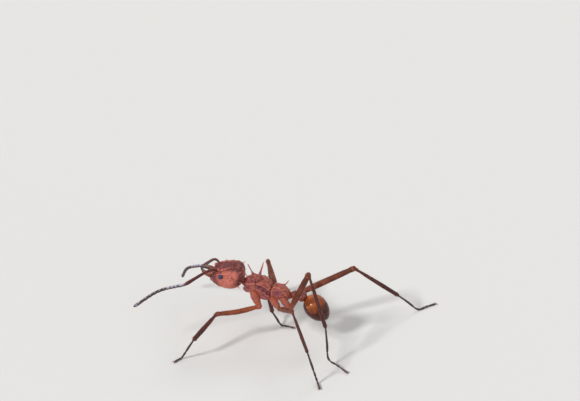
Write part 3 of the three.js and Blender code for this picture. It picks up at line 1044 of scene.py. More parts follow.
# Raised keels, as lines for the right side.
KEEL_WIDTH = 0.05
KEEL_HEIGHT = 0.045
TRUNK_KEELS = [
    [(-1.3, 0.16, 3.36), (-1.1, 0.42, 3.42), (-0.84, 0.5, 3.5)],
    [(-0.84, 0.5, 3.5), (-0.58, 0.44, 3.5), (-0.3, 0.44, 3.44), (0.0, 0.38, 3.26), (0.18, 0.34, 3.06)],
    [(-0.6, 0.46, 3.2), (-0.36, 0.5, 3.06), (-0.06, 0.46, 2.88), (0.16, 0.38, 2.72)],
    [(-0.5, 0.2, 3.62), (-0.28, 0.2, 3.6), (-0.1, 0.2, 3.44), (0.1, 0.2, 3.2)],
    [(0.28, 0.3, 3.14), (0.25, 0.38, 2.96), (0.27, 0.37, 2.74)],
    [(0.34, 0.2, 3.22), (0.56, 0.24, 3.28), (0.8, 0.24, 3.14)],
    [(0.8, 0.24, 3.14), (1.0, 0.31, 2.98), (1.08, 0.28, 2.8), (1.14, 0.2, 2.64)],
    [(0.3, 0.35, 2.58), (0.6, 0.39, 2.54), (0.9, 0.35, 2.52)],
]
# Pressed grooves, with widths and depths: the seams between the plates, and lines on the sides.
TRUNK_GROOVES = [
    (
        [(-0.6, 0, 3.72), (-0.6, 0.26, 3.62), (-0.56, 0.48, 3.34), (-0.62, 0.5, 3.02), (-0.7, 0.4, 2.8)],
        0.03, 0.035,
    ),
    ([(0.2, 0, 3.3), (0.2, 0.24, 3.18), (0.2, 0.38, 2.96), (0.2, 0.36, 2.7), (0.16, 0.2, 2.54)], 0.045, 0.05),
    ([(-1.22, 0.12, 3.12), (-1.1, 0.38, 3.07), (-0.84, 0.52, 3.04), (-0.62, 0.5, 3.0)], 0.03, 0.035),
    ([(-0.56, 0.46, 3.0), (-0.36, 0.5, 2.9), (-0.02, 0.44, 2.76), (0.16, 0.36, 2.66)], 0.03, 0.04),
    ([(0.86, 0.38, 2.86), (0.88, 0.4, 2.87)], 0.035, 0.04),
]
# Pressed hollows: on the sides, and three on the middle line.
TRUNK_HOLLOWS = [
    ((-0.98, 0.56, 3.26), 0.14, 0.03),
    ((-0.9, 0, 3.74), 0.16, 0.04),
    ((-0.36, 0.49, 3.3), 0.12, 0.05),
    ((-0.14, 0.48, 3.14), 0.15, 0.08),
    ((0.06, 0.44, 2.96), 0.13, 0.07),
    ((-0.3, 0, 3.7), 0.14, 0.05),
    ((0.58, 0.4, 2.98), 0.17, 0.06),
    ((0.5, 0, 3.32), 0.14, 0.03),
]
PETIOLE_STATIONS = [
    (1.16, 2.67, 0.09, 0.09),
    (1.3, 2.69, 0.13, 0.12),
    (1.42, 2.75, 0.24, 0.22),
    (1.5, 2.78, 0.26, 0.23),
    (1.6, 2.75, 0.19, 0.16),
    (1.68, 2.73, 0.11, 0.1),
]
POSTPETIOLE_STATIONS = [
    (1.64, 2.74, 0.12, 0.12),
    (1.76, 2.74, 0.28, 0.23),
    (1.9, 2.72, 0.34, 0.27),
    (2.03, 2.67, 0.26, 0.21),
    (2.1, 2.64, 0.12, 0.12),
]


def spines(rows):
    """Spines on both sides, from rows of foot, tip and radius for the right side."""
    return [shape for foot, tip, radius in rows for shape in mirrored(spike, (foot, tip), radius)]


def warted(mesh, finish, bare, **sizes):
    """A skin with warts, which stand where `bare` gives 0 and are absent where it gives 1.

    The sizes are the warts' density on a square millimetre, radius, height and seed."""
    if "bare" in mesh.attributes:
        mesh.attributes.remove(mesh.attributes["bare"])
    store(mesh, "bare", bare(coordinates(mesh)))
    values = {name.title(): value for name, value in sizes.items()} | {"Finish": material(finish)}
    return evaluated(mesh, growing(tree_named("Warts", wart_tree), values))


def build_head():
    """The head capsule with its lobes, mouthparts, keels, spines and warts."""
    shapes = [plate(HEAD_STATIONS, inset=0.03, box=2.3)]
    for middle, radii in HEAD_LOBES.values():
        shapes += mirrored(blob, [middle], radii)
    shapes += [blob(*CLYPEUS), blob(*LABRUM), *spines([PALP])]
    rows = [*HEAD_SPINES, FRONTAL_TOOTH]
    mesh = body_mesh("head", shapes + spines(rows))

    def off_the_crown(points):
        x, y, z = points.T
        back = ramp(x, -2.75, width=0.4)
        top = ramp(z, 3.8, width=0.2, least=0.03)
        beside = ramp(np.abs(y), 0.11, width=0.05)
        return np.maximum(1 - back * top * beside, along_spines(points, rows))

    def off_the_eye(points):
        right_half = points * (1, 0, 1) + np.abs(points) * (0, 1, 0)
        away = np.linalg.norm(right_half - EYE_SOCKET, axis=1)
        return np.maximum(away < 0.24, along_spines(points, rows))

    mesh = warted(mesh, "head_finish", off_the_crown, density=38.0, radius=0.05, height=0.055, seed=5)
    mesh = warted(mesh, "head_finish", off_the_eye, density=36.0, radius=0.026, height=0.02, seed=6)
    mesh = evaluated(mesh, fusing(voxel=0.0145, passes=2))
    press(mesh, both_sides(HEAD_LINES.values()), both_sides(HEAD_HOLLOWS.values()))
    wrinkle(mesh, HEAD_STATIONS, 34, 0.007, lambda points: ramp(points[:, 0], -2.9, width=0.5, least=0.3))
    roughen(mesh, size=0.09, depth=0.006)
    mark(
        mesh,
        dusk=(HEAD_DUSK_AND_SHADE, 0.36),
        tip=([tip for _, tip, _ in HEAD_SPINES], 0.07),
        shine=([(-3.1, 0.36, 3.66), (-3.16, 0.1, 3.62), (-3.0, 0.5, 3.6)], 0.1),
    )
    finished("head", mesh, "head_finish", "body_shell", "head")


def build_eyes():
    """Domed eyes that stand a little out of the head."""
    for side, sign in SIDES.items():
        centre = middle_of(f"eye_{side}")
        outward = unit(np.array((-0.2, 0.82 * sign, 0.54)))
        share = np.linspace(-1, 1, 12)
        path = centre + np.outer(np.linspace(-0.09, 0.085, len(share)), outward)
        girth = EYE_RADIUS * np.sqrt(1 - (share * 0.86) ** 2)
        mesh = body_mesh(f"eye_{side}", [tube(path, girth, girth, (0, 0, 1), sides=40, ends=(0.3, 0.35))])
        # Painted sheen: where the eye faces out, its middle turns bluer.
        store(mesh, "middle", ramp(normals(mesh) @ outward, 0.45, width=0.4))
        finished(f"eye_{side}", mesh, "eye_finish", "eye", f"eye_{side}")


def build_mandibles():
    """Broad flat jaws that curve in to a point, with a row of teeth along the inner edge."""
    hinge, elbow, tip = (-2.96, 0.33, 3.66), (-3.36, 0.3, 3.8), (-3.67, 0.07, 3.92)
    count, first_tooth, apart = 30, 11, 3
    share = np.linspace(0, 1, count)
    broad = smoothed([(0, 0.13), (0.35, 0.19), (0.6, 0.16), (0.85, 0.1), (1, 0.035)], share)
    thick = smoothed([(0, 0.14), (0.4, 0.085), (1, 0.03)], share)
    for side, sign in SIDES.items():
        name = f"mandible_{side}"
        path = curve_through([np.array(place) * (1, sign, 1) for place in (hinge, elbow, tip)], count)
        shapes = [tube(path, broad, thick, (0, 1, 0), sides=24, box=2.3)]
        teeth = []
        for index in range(first_tooth, count, apart):
            foot = path[index] - np.array((0, sign * broad[index] * 0.75, 0))
            tooth = foot + np.array((-0.045, -sign * 0.085, 0.01)) * (0.75 + 0.4 * share[index])
            shapes.append(spike(foot, tooth, radius=0.042, sides=8))
            teeth.append(tooth)
        mesh = evaluated(body_mesh(name, shapes), fusing(voxel=0.009, passes=2))
        roughen(mesh, size=0.06, depth=0.004)
        points = coordinates(mesh)
        along = (path[0][0] - points[:, 0]) / (path[0][0] - path[-1][0])
        store(mesh, "tip", 1.1 - 0.7 * along - near(points, teeth, radius=0.1))
        finished(name, mesh, "jaw_finish", "dark_horn", name)


def build_trunk():
    """The trunk, whose three plates have grown together, with its spines, lobes and keels."""
    rows = list(TRUNK_SPINES.values())
    shapes = [plate(TRUNK_STATIONS, inset=0.025, count=90)] + spines(rows)
    for middle, radii in TRUNK_LOBES.values():
        shapes += mirrored(blob, [middle], radii)
    mesh = body_mesh("trunk", shapes)

    def off_the_back(points):
        back = ramp(points[:, 2] + 0.28 * points[:, 0], 3.2, width=0.2, least=0.06)
        return np.maximum(1 - back, along_spines(points, rows))

    def off_the_spines(points):
        return np.maximum(0.2, along_spines(points, rows))

    mesh = warted(mesh, "trunk_finish", off_the_back, density=14.0, radius=0.042, height=0.04, seed=8)
    mesh = warted(mesh, "trunk_finish", off_the_spines, density=34.0, radius=0.024, height=0.018, seed=9)
    mesh = evaluated(mesh, fusing(voxel=0.014, passes=3))
    keels = [(keel, KEEL_WIDTH, -KEEL_HEIGHT) for keel in TRUNK_KEELS]
    press(mesh, both_sides(TRUNK_GROOVES + keels), both_sides(TRUNK_HOLLOWS))
    wrinkle(mesh, TRUNK_STATIONS, 22, 0.009, lambda points: ramp(points[:, 2], 2.7, width=0.3, least=0.2))
    roughen(mesh, size=0.12, depth=0.012)
    # Painted shade with a mauve sheen: in the side hollows, near the feet of the long spines, and on the
    # propleuron and the mesosternum.
    dusky = [place for place, _, _ in TRUNK_HOLLOWS if place[1]]
    for name in ("pronotum_lateral", "mesonotum_anterior"):
        foot, tip, _ = TRUNK_SPINES[name]
        dusky.append(np.array(foot) * 0.7 + np.array(tip) * 0.3)
    mark(
        mesh,
        dusk=(dusky + [(-1.04, 0.3, 3.0), (-0.1, 0.42, 2.68)], 0.22),
        tip=([tip for _, tip, _ in rows], 0.14),
        shine=([(-1.16, 0.34, 2.98), (-0.1, 0.45, 2.66), (0.96, 0.38, 2.6)], 0.1),
    )
    finished("trunk", mesh, "trunk_finish", "body_shell", "pronotum", "mesothorax", "propodeum")


# The stations of the two knots and their small spines.
WAIST = {
    "petiole": (PETIOLE_STATIONS, [
        ((1.46, 0.12, 2.92), (1.5, 0.17, 3.06), 0.05),
        ((1.5, 0.2, 2.84), (1.56, 0.26, 2.92), 0.04),
    ]),
    "postpetiole": (POSTPETIOLE_STATIONS, [
        ((1.9, 0.24, 2.8), (1.94, 0.36, 2.89), 0.05),
        ((1.84, 0.1, 2.94), (1.9, 0.12, 3.01), 0.04),
        ((1.98, 0.16, 2.84), (2.05, 0.2, 2.9), 0.035),
    ]),
}


def build_waist():
    """The two knots of the waist, each with small spines."""

    def underneath(points):
        return 1 - ramp(points[:, 2], 2.6, width=0.15, least=0.1)

    for name, (stations, rows) in WAIST.items():
        mesh = body_mesh(name, [plate(stations, inset=0.012)] + spines(rows))
        mesh = warted(mesh, "waist_finish", underneath, density=60.0, radius=0.032, height=0.03, seed=11)
        mesh = evaluated(mesh, fusing(voxel=0.012, passes=2))
        wrinkle(mesh, stations, 15, 0.008, lambda points: ramp(points[:, 2], 2.5, width=0.2, least=0.3))
        roughen(mesh, size=0.09, depth=0.012)
        x, z, half_width, half_height = stations[len(stations) // 2]
        mark(
            mesh,
            dusk=([(x, 0.1, z + half_height)], 0.15),
            tip=([tip for _, tip, _ in rows], 0.06),
            shine=([(x, half_width * 0.7, z + half_height * 0.6)], 0.12),
        )
        finished(name, mesh, "waist_finish", "body_shell", name)


GASTER_MIDDLE = np.array((2.7, 0.0, 2.08))
GASTER_DROOP = math.radians(48)
GASTER_HALF_LENGTH, GASTER_HALF_WIDTH, GASTER_HALF_HEIGHT = 0.83, 0.66, 0.62
# Where each segment starts and ends along the gaster, from -1 to 1, and its size.
GASTER_SEGMENTS = [(-1.0, 0.56, 1.0), (0.2, 0.76, 0.965), (0.5, 0.89, 0.95), (0.72, 0.985, 0.93)]


def build_gaster():
    """Four nested segments that narrow to the drooping tip, with a flange along each side."""
    heading = np.array((math.cos(GASTER_DROOP), 0, -math.sin(GASTER_DROOP)))
    shapes = []
    for start, end, size in GASTER_SEGMENTS:
        share = np.linspace(start * 0.995, end, 48)
        egg = np.sqrt(np.clip(1 - share**2, 0, 1)) * (1 - 0.12 * share) * size
        lip = 1 + 0.012 * bell(share, end, width=0.05)
        path = GASTER_MIDDLE + np.outer(share * GASTER_HALF_LENGTH, heading)
        widths, heights = egg * lip * GASTER_HALF_WIDTH, egg * lip * GASTER_HALF_HEIGHT
        shapes.append(tube(path, widths, heights, (0, 1, 0), sides=56, ends=(0.15, 0.12)))

    def off_the_front(points):
        front = ramp(-points[:, 0], -3.0, width=0.3, least=0.15)
        top = ramp(points[:, 2], 1.9, width=0.2, least=0.1)
        return 1 - front * top

    mesh = body_mesh("gaster", shapes)
    mesh = warted(mesh, "gaster_finish", off_the_front, density=15.0, radius=0.075, height=0.036, seed=12)
    mesh = evaluated(mesh, fusing(voxel=0.015, passes=3))
    rise = np.cross(heading, (0, 1, 0))
    local = coordinates(mesh) - GASTER_MIDDLE
    along = local @ heading / GASTER_HALF_LENGTH
    up = local @ rise / GASTER_HALF_HEIGHT
    level = up + 0.26 - 0.1 * along  # 0 on the seam along each side
    seam = bell(level, 0, width=0.035) * (along < 0.97)
    flange = bell(level, 0.1, width=0.05) * (along < 0.6)
    raise_by(mesh, 0.036 * flange - 0.024 * seam)
    roughen(mesh, size=0.12, depth=0.002)
    mark(mesh)
    store(mesh, "shine", flange)
    # Painted shade: darker towards the rear, below the seam along each side and lower down.
    store(mesh, "dusk", 0.55 + 0.7 * along + 0.35 * (level < 0) - 0.2 * up)
    finished("gaster", mesh, "gaster_finish", "gaster_shell", "gaster")


# ---- feelers and legs --------------------------------------------------------------------------


def limb_mesh(name, places, stops, radius, across, count=64, sides=18, flat=1.0, ends=(0.8, 0.8)):
    """A limb through its places, whose girth follows the stops."""
    path = curve_through(places, count)
    girth = radius * smoothed(stops, np.linspace(0, 1, count))
    return body_mesh(name, [tube(path, girth, girth * flat, across, sides, ends=ends)])


def pimpled(mesh, finish, voxel, **sizes):
    """A limb with pimples all over, as one skin."""
    return evaluated(warted(mesh, finish, all_over, **sizes), fusing(voxel, passes=2))


def along_of(mesh, places):
    """For each point of a limb's mesh, how far along the limb it is, from 0 to 1."""
    path = curve_through(places, 80)
    points = coordinates(mesh)
    away = ((points[:, None] - path[None]) ** 2).sum(2)
    return away.argmin(1) / (len(path) - 1)


def streaks(mesh, places):
    """Fine streaks along a limb, from 0 to 1, for each point of its mesh."""
    width, length = 0.05, 0.6
    points = coordinates(mesh)
    heading = unit(np.asarray(places[-1]) - np.asarray(places[0]))
    reach = (points @ heading)[:, None] * heading
    stretched = (points - reach) / width + reach / length
    return np.array([0.5 + 0.5 * noise.noise(Vector(place)) for place in stretched])


def beads(lengths, neck, waist=0.85):
    """Stops for a row of segments, each narrow at its base and widest near its end."""
    total, stops, start = sum(lengths), [], 0.0
    for length in lengths:
        size = length / total
        stops += [
            (start, neck),
            (start + 0.08 * size, waist),
            (start + 0.8 * size, 1.0),
            (start + 0.95 * size, 0.92),
        ]
        start += size
    return stops + [(1.0, neck)]


# The lengths of the flagellum's segments and of the foot's, from the base on.
FUNICULUS = [1.7, 0.75, 0.8, 0.85, 0.9, 0.95, 1.0, 1.05, 1.1, 2.2]
TARSOMERES = [4.6, 1.5, 1.1, 0.8, 1.5]
# How the girth of each limb goes: shares of its length, and of its radius there.
FEMUR_STOPS = [(0, 0.55), (0.05, 0.78), (0.35, 1.0), (0.75, 0.92), (0.92, 0.8), (0.965, 0.95), (1, 0.8)]
TIBIA_STOPS = [
    (0, 0.75), (0.04, 0.85), (0.1, 0.58), (0.3, 0.85), (0.65, 1.0), (0.92, 0.92), (0.97, 1.02), (1, 0.7),
]
COXA_STOPS = [
    (0, 0.85), (0.25, 1.0), (0.5, 0.88), (0.7, 0.66), (0.77, 0.56), (0.86, 0.62), (0.95, 0.56), (1, 0.46),
]
SCAPE_STOPS = [(0, 1.0), (0.03, 0.95), (0.07, 0.55), (0.16, 0.72), (0.6, 0.86), (0.94, 1.08), (1, 0.8)]
FEMUR_RADIUS = {"front": 0.135, "middle": 0.14, "hind": 0.165}
TIBIA_RADIUS = {"front": 0.125, "middle": 0.094, "hind": 0.11}
COXA_RADIUS = {"front": 0.24, "middle": 0.2, "hind": 0.2}
TARSUS_RADIUS = 0.068
SCAPE_RADIUS = 0.095
FLAGELLUM_RADIUS = 0.088
# Painted shade: the middle and hind femora are darkened as if in the body's shadow.
FEMUR_PAINTED_SHADE = {"front": 0, "middle": 0.3, "hind": 0.3}  # how much darker each pair's femora are


def build_scape(feeler):
    """The feeler's long smooth first segment."""
    name = f"scape_{feeler.side}"
    places = [feeler.socket, feeler.arch, feeler.elbow]
    mesh = limb_mesh(name, places, SCAPE_STOPS, SCAPE_RADIUS, feeler.across)
    mesh = pimpled(mesh, "shin_finish", voxel=0.0115, density=50.0, radius=0.014, height=0.01, seed=15)
    mark(mesh)
    along = along_of(mesh, places)
    store(mesh, "dusk", 0.2 + 0.3 * along + 0.4 * streaks(mesh, places))
    store(mesh, "tip", np.clip(1 - along / 0.12, 0, 1) * 0.5)
    finished(name, mesh, "shin_finish", "shin_shell", name)


def build_flagellum(feeler):
    """The feeler's row of short segments, each with a pale patch on top: partly bloom of short hairs and
    partly a painted highlight.
    """
    name = f"flagellum_{feeler.side}"
    places = [feeler.elbow, feeler.middle, feeler.tip]
    beaded = beads(FUNICULUS, neck=0.62)
    mesh = limb_mesh(name, places, beaded, FLAGELLUM_RADIUS, feeler.across, count=220, ends=(0.4, 1.6))
    along = along_of(mesh, places)
    edges = np.cumsum([0, *FUNICULUS]) / sum(FUNICULUS)
    segment = np.clip(np.searchsorted(edges, along, side="right") - 1, 0, len(FUNICULUS) - 1)
    within = (along - edges[segment]) / (edges[segment + 1] - edges[segment])
    nearer = along < 0.36  # the segments near the elbow, whose bloom is wider
    patch = bell(within, 0.55, width=np.where(nearer, 0.42, 0.2))
    # Painted highlight: the patch is paler on the segments' upper sides.
    top = np.clip(normals(mesh)[:, 2] * 1.1 + np.where(nearer, 0.2, -0.1), 0, 1)
    tip_ring = bell(along, 0.97, width=0.03) * 0.5
    store(mesh, "bloom", np.maximum(patch * top * np.where(nearer, 0.95, 0.75), tip_ring))
    finished(name, mesh, "feeler_finish", "dark_horn", name)


def build_feelers():
    """Elbowed feelers, each of a scape and a flagellum."""
    for feeler in FEELERS:
        build_scape(feeler)
        build_flagellum(feeler)


def build_coxae():
    """Coxae that hang from the trunk and turn into the trochanters."""
    for leg in LEGS:
        name = f"coxa_{leg.name}"
        toward_trunk = leg.hip + (leg.hip - leg.trochanter) * 0.18
        turn = leg.trochanter + unit(leg.knee - leg.trochanter) * 0.12
        places = [toward_trunk, leg.hip * 0.45 + leg.trochanter * 0.55, leg.trochanter, turn]
        radius = COXA_RADIUS[leg.pair]
        mesh = limb_mesh(name, places, COXA_STOPS, radius, leg.across, count=40, sides=28, ends=(1, 1))
        mesh = pimpled(mesh, "coxa_finish", voxel=0.013, density=40.0, radius=0.02, height=0.014, seed=13)
        roughen(mesh, size=0.08, depth=0.006)
        mark(mesh)
        points = coordinates(mesh)
        # Painted shade with a mauve sheen, in a patch on the upper outer side of each coxa.
        hollow = curve_through(places, 40)[14] + (0, SIDES[leg.side] * 0.15, 0.05)
        store(mesh, "dusk", near(points, [hollow], radius=0.16) * 0.6)
        store(mesh, "tip", near(points, [leg.trochanter], radius=0.2) * 0.4)
        finished(name, mesh, "coxa_finish", "body_shell", name)


def limb_segment(name, places, stops, radius, across, finish):
    """A femur or a tibia, with pimples, and how far along it each point is and its streaks."""
    mesh = limb_mesh(name, places, stops, radius, across, flat=1.08)
    mesh = pimpled(mesh, finish, voxel=0.0125, density=46.0, radius=0.017, height=0.012, seed=14)
    roughen(mesh, size=0.07, depth=0.005)
    mark(mesh)
    return mesh, along_of(mesh, places), streaks(mesh, places)


def build_femur(leg):
    """Warm at both ends and darker towards the knee; the left front one sags a little."""
    name = f"femur_{leg.name}"
    sag = (0, 0, -0.09 if leg.name == "front_left" else 0)
    places = [leg.trochanter, (leg.trochanter + leg.knee) / 2 + sag, leg.knee]
    radius = FEMUR_RADIUS[leg.pair]
    mesh, along, streak = limb_segment(name, places, FEMUR_STOPS, radius, leg.across, "femur_finish")
    # Darker towards the knee, random streaks, and painted shade on the middle and hind pairs.
    store(mesh, "dusk", 0.6 * along**3 + 0.5 * streak + FEMUR_PAINTED_SHADE[leg.pair])
    warm = bell(along, 0, width=0.08) + 0.8 * bell(along, 0.97, width=0.03)
    store(mesh, "tip", warm * 0.7)
    finished(name, mesh, "femur_finish", "body_shell", name)


def build_tibia(leg):
    """Darker towards the foot, with a warm ring at the knee."""
    name = f"tibia_{leg.name}"
    places = [leg.knee, (leg.knee + leg.ankle) / 2, leg.ankle]
    radius = TIBIA_RADIUS[leg.pair]
    mesh, along, streak = limb_segment(name, places, TIBIA_STOPS, radius, leg.across, "shin_finish")
    store(mesh, "dusk", 0.2 + 0.5 * along + 0.4 * streak)
    store(mesh, "tip", bell(along, 0.02, width=0.04) * 0.7)
    finished(name, mesh, "shin_finish", "shin_shell", name)


def build_legs():
    """Femora and tibiae, each a hard tube with pimples and fine streaks."""
    for leg in LEGS:
        build_femur(leg)
        build_tibia(leg)


def build_tarsus(leg):
    """A foot's five segments, with the spur at the ankle."""
    name = f"tarsus_{leg.name}"
    places = [leg.ankle, leg.ankle * 0.5 + leg.heel * 0.5, leg.heel, leg.heel * 0.5 + leg.toe * 0.5, leg.toe]
    share = np.linspace(0, 1, 160)
    path = curve_through(places, len(share))
    path[:, 2] = np.maximum(path[:, 2], TOE_HEIGHT)
    beaded = beads(TARSOMERES, neck=0.55, waist=0.7)
    girth = TARSUS_RADIUS * smoothed(beaded, share) * (1 - 0.15 * share)
    spur_foot = leg.ankle + unit(leg.ankle - leg.knee) * -0.04
    spur_tip = spur_foot + unit(leg.heel - leg.ankle) * 0.3 + unit(leg.across) * 0.08
    foot = tube(path, girth, girth, leg.across, sides=14, ends=(0.5, 0.8))
    mesh = body_mesh(name, [foot, spike(spur_foot, spur_tip, radius=0.03, sides=8)])
    store(mesh, "tip", near(coordinates(mesh), [leg.toe], radius=0.2) * 0.6)
    finished(name, mesh, "foot_finish", "dark_horn", name)


def build_claws(leg):
    """A pair of hooked claws at the toe, with a pad between them."""
    name = f"claws_{leg.name}"
    heading = unit((leg.toe - leg.heel) * (1, 1, 0))
    beside = np.cross(heading, (0, 0, 1))
    shapes = []
    for sign in (-1, 1):
        root = leg.toe + beside * 0.03 * sign
        bend = root + heading * 0.09 + beside * 0.045 * sign + (0, 0, 0.02)
        point = root + heading * 0.14 + beside * 0.06 * sign + (0, 0, -0.05)
        girth = np.linspace(0.024, 0.005, 12)
        hook = curve_through([root, bend, point], len(girth))
        shapes.append(tube(hook, girth, girth, (0.3, 0.2, 0.9), sides=8))
    pad = leg.toe + heading * 0.05 - (0, 0, 0.02)
    shapes.append(blob(pad, (0.05, 0.035, 0.025), heading, beside))
    mesh = body_mesh(name, shapes)
    store(mesh, "tip", np.full(len(mesh.vertices), 0.5))
    finished(name, mesh, "foot_finish", "dark_horn", f"tarsus_{leg.name}")


def build_feet():
    """Feet and claws; the claws stand for the same solid as their foot."""
    for leg in LEGS:
        build_tarsus(leg)
        build_claws(leg)


# ---- coat --------------------------------------------------------------------------------------


def hairs_on(piece, start, end, lean, strip, sizes, bare):
    """The hairs of one piece, in body millimetres, mapped round its axis into its strip."""
    mesh = piece.data.copy()
    mesh.transform(TO_FRAME.inverted())
    store(mesh, "bare", bare(coordinates(mesh)))
    coat = bpy.context.scene.ant_coat
    values = {
        "Lean": tuple(lean),
        "Axis Start": tuple(start),
        "Axis End": tuple(end),
        "Low": strip[0],
        "High": strip[1],
        "Radius": coat.radius_mm,
        "Seed": coat.seed,
        "Finish": material("hair_finish"),
    }
    return evaluated(mesh, growing(tree_named("Hairs", hair_tree), values | sizes))


def coat_piece(name, parts, nodes, density, length, bare=all_over):
    """One coat piece for some nodes, over parts that each have a start, an end and a lean."""
    whole = bmesh.new()
    sizes = {"Density": density, "Length": length}
    for index, (part, (start, end, lean)) in enumerate(parts.items()):
        strip = (index / len(parts), (index + 1) / len(parts))
        piece = bpy.data.objects[f"{part}_piece"]
        whole.from_mesh(hairs_on(piece, start, end, lean, strip, sizes, bare))
    result = bpy.data.meshes.new(name)
    whole.to_mesh(result)
    whole.free()
    finished(name, result, "hair_finish", "body_shell", *nodes)


def near_the_ground(points):
    """1 where a hair would reach the ground, 0 from a little higher."""
    return np.clip((0.14 - points[:, 2]) / 0.02, 0, 1)


# The coat's regions on the body: each region's pieces, with the nodes that each piece stands for.
COAT_REGIONS = {
    "head": {"head": ["head"]},
    "trunk": {"trunk": ["pronotum", "mesothorax", "propodeum"]},
    "waist": {"petiole": ["petiole"], "postpetiole": ["postpetiole"]},
    "gaster": {"gaster": ["gaster"]},
}


def limb_parts(lines, lean):
    """A limb's parts with their ends, and hairs that lean towards the far one."""
    return {part: (start, end, unit(end - start) * lean) for part, (start, end) in lines.items()}


def build_coat():
    """Short hairs over body, legs and feelers, one piece for each region."""
    coat = bpy.context.scene.ant_coat
    backwards = (0.35, 0, 0.1)
    for region, pieces in COAT_REGIONS.items():
        parts = {}
        for piece, nodes in pieces.items():
            points = np.vstack([node_points(node) for node in nodes])
            height = points[:, 2].mean()
            start, end = (points[:, 0].min(), 0, height), (points[:, 0].max(), 0, height)
            parts[piece] = (start, end, backwards)
        nodes = sum(pieces.values(), [])
        coat_piece(f"hairs_{region}", parts, nodes, coat.body_density, coat.body_length_mm)
    for leg in LEGS:
        parts = limb_parts({
            f"coxa_{leg.name}": (leg.hip, leg.trochanter),
            f"femur_{leg.name}": (leg.trochanter, leg.knee),
            f"tibia_{leg.name}": (leg.knee, leg.ankle),
            f"tarsus_{leg.name}": (leg.ankle, leg.toe),
        }, 1.1)
        coat_piece(f"hairs_{leg.name}", parts, parts, coat.leg_density, coat.leg_length_mm, near_the_ground)
    for feeler in FEELERS:
        parts = limb_parts({
            f"scape_{feeler.side}": (feeler.socket, feeler.elbow),
            f"flagellum_{feeler.side}": (feeler.elbow, feeler.tip),
        }, 1.3)
        coat_piece(f"hairs_feeler_{feeler.side}", parts, parts, coat.leg_density, coat.leg_length_mm * 0.7)


# ---- stage -------------------------------------------------------------------------------------


def build_floor(stage):
    """A plain square floor under the feet."""
    size = stage.floor_size
    mesh = bpy.data.meshes.new("floor")
    corners = [(-size, -size, 0), (size, -size, 0), (size, size, 0), (-size, size, 0)]
    mesh.from_pydata(corners, [], [(0, 1, 2, 3)])
    floor = bpy.data.objects.new("floor", mesh)
    bpy.context.scene.collection.objects.link(floor)
    paint = Paint("floor_paper")
    paint.set(Base_Color=(*stage.floor_colour, 1.0), Roughness=0.9, Specular_IOR_Level=0.1)
    mesh.materials.append(paint.material)


def light_room(stage):
    """Soft light all round, in front of a paler room that the camera and reflections see."""
    world = bpy.data.worlds.new("soft_room")
    world.use_nodes = True
    sky = Tree(world.node_tree)
    background = world.node_tree.nodes["Background"]
    rays = world.node_tree.nodes.new("ShaderNodeLightPath")
    kinds = ("Is Camera Ray", "Is Glossy Ray", "Is Transmission Ray")
    camera_ray, glossy_ray, clear_ray = (Value(sky, rays.outputs[kind]) for kind in kinds)
    seen = camera_ray.math("MAXIMUM", glossy_ray).math("MAXIMUM", clear_ray)
    sky.fill(background.inputs["Color"], (1.0, 1.0, 1.0, 1.0))
    sky.fill(background.inputs["Strength"], seen * (stage.backdrop - stage.sky) + stage.sky)
    bpy.context.scene.world = world


def hang_lamps(stage):
    """Three lamps, each with its strength, the way it comes from and its softness in degrees."""
    lamps = {
        "key": (stage.key, (-0.55, -0.75, 0.75), 10),
        "fill": (stage.fill, (0.8, -0.55, 0.45), 40),
        "rim": (stage.rim, (0.2, 0.85, 0.8), 25),
    }
    for name, (power, way, softness) in lamps.items():
        data = bpy.data.lights.new(name, "SUN")
        data.energy = power
        data.angle = math.radians(softness)
        lamp = bpy.data.objects.new(name, data)
        lamp.rotation_mode = "QUATERNION"
        lamp.rotation_quaternion = Vector(way).to_track_quat("Z", "Y")
        bpy.context.scene.collection.objects.link(lamp)


def place_camera(stage):
    """Aims the camera at a place beside and above the trunk."""
    azimuth, elevation = stage.azimuth, stage.elevation
    back = Vector((
        math.sin(azimuth) * math.cos(elevation),
        -math.cos(azimuth) * math.cos(elevation),
        math.sin(elevation),
    ))
    right = Vector((math.cos(azimuth), math.sin(azimuth), 0))
    up = back.cross(right)
    aim = TO_FRAME @ TRUNK_UNDERSIDE + right * stage.aim_right + up * stage.aim_up
    data = bpy.data.cameras.new("camera")
    data.lens = stage.lens
    data.clip_start = 0.01
    camera = bpy.data.objects.new("camera", data)
    camera.location = aim + back * stage.distance
    camera.rotation_mode = "QUATERNION"
    camera.rotation_quaternion = back.to_track_quat("Z", "Y")
    bpy.context.scene.collection.objects.link(camera)
    bpy.context.scene.camera = camera


def build_stage():
    """A plain pale floor, soft lamps and the camera."""
    stage = bpy.context.scene.ant_stage
    build_floor(stage)
    light_room(stage)
    hang_lamps(stage)
    place_camera(stage)
    bpy.context.scene.view_settings.view_transform = "Standard"


# ---- settings ----------------------------------------------------------------------------------


def swatch(name, description, default):
    return bpy.props.FloatVectorProperty(
        name=name, description=description, default=default, subtype="COLOR", size=3, min=0, max=1
    )


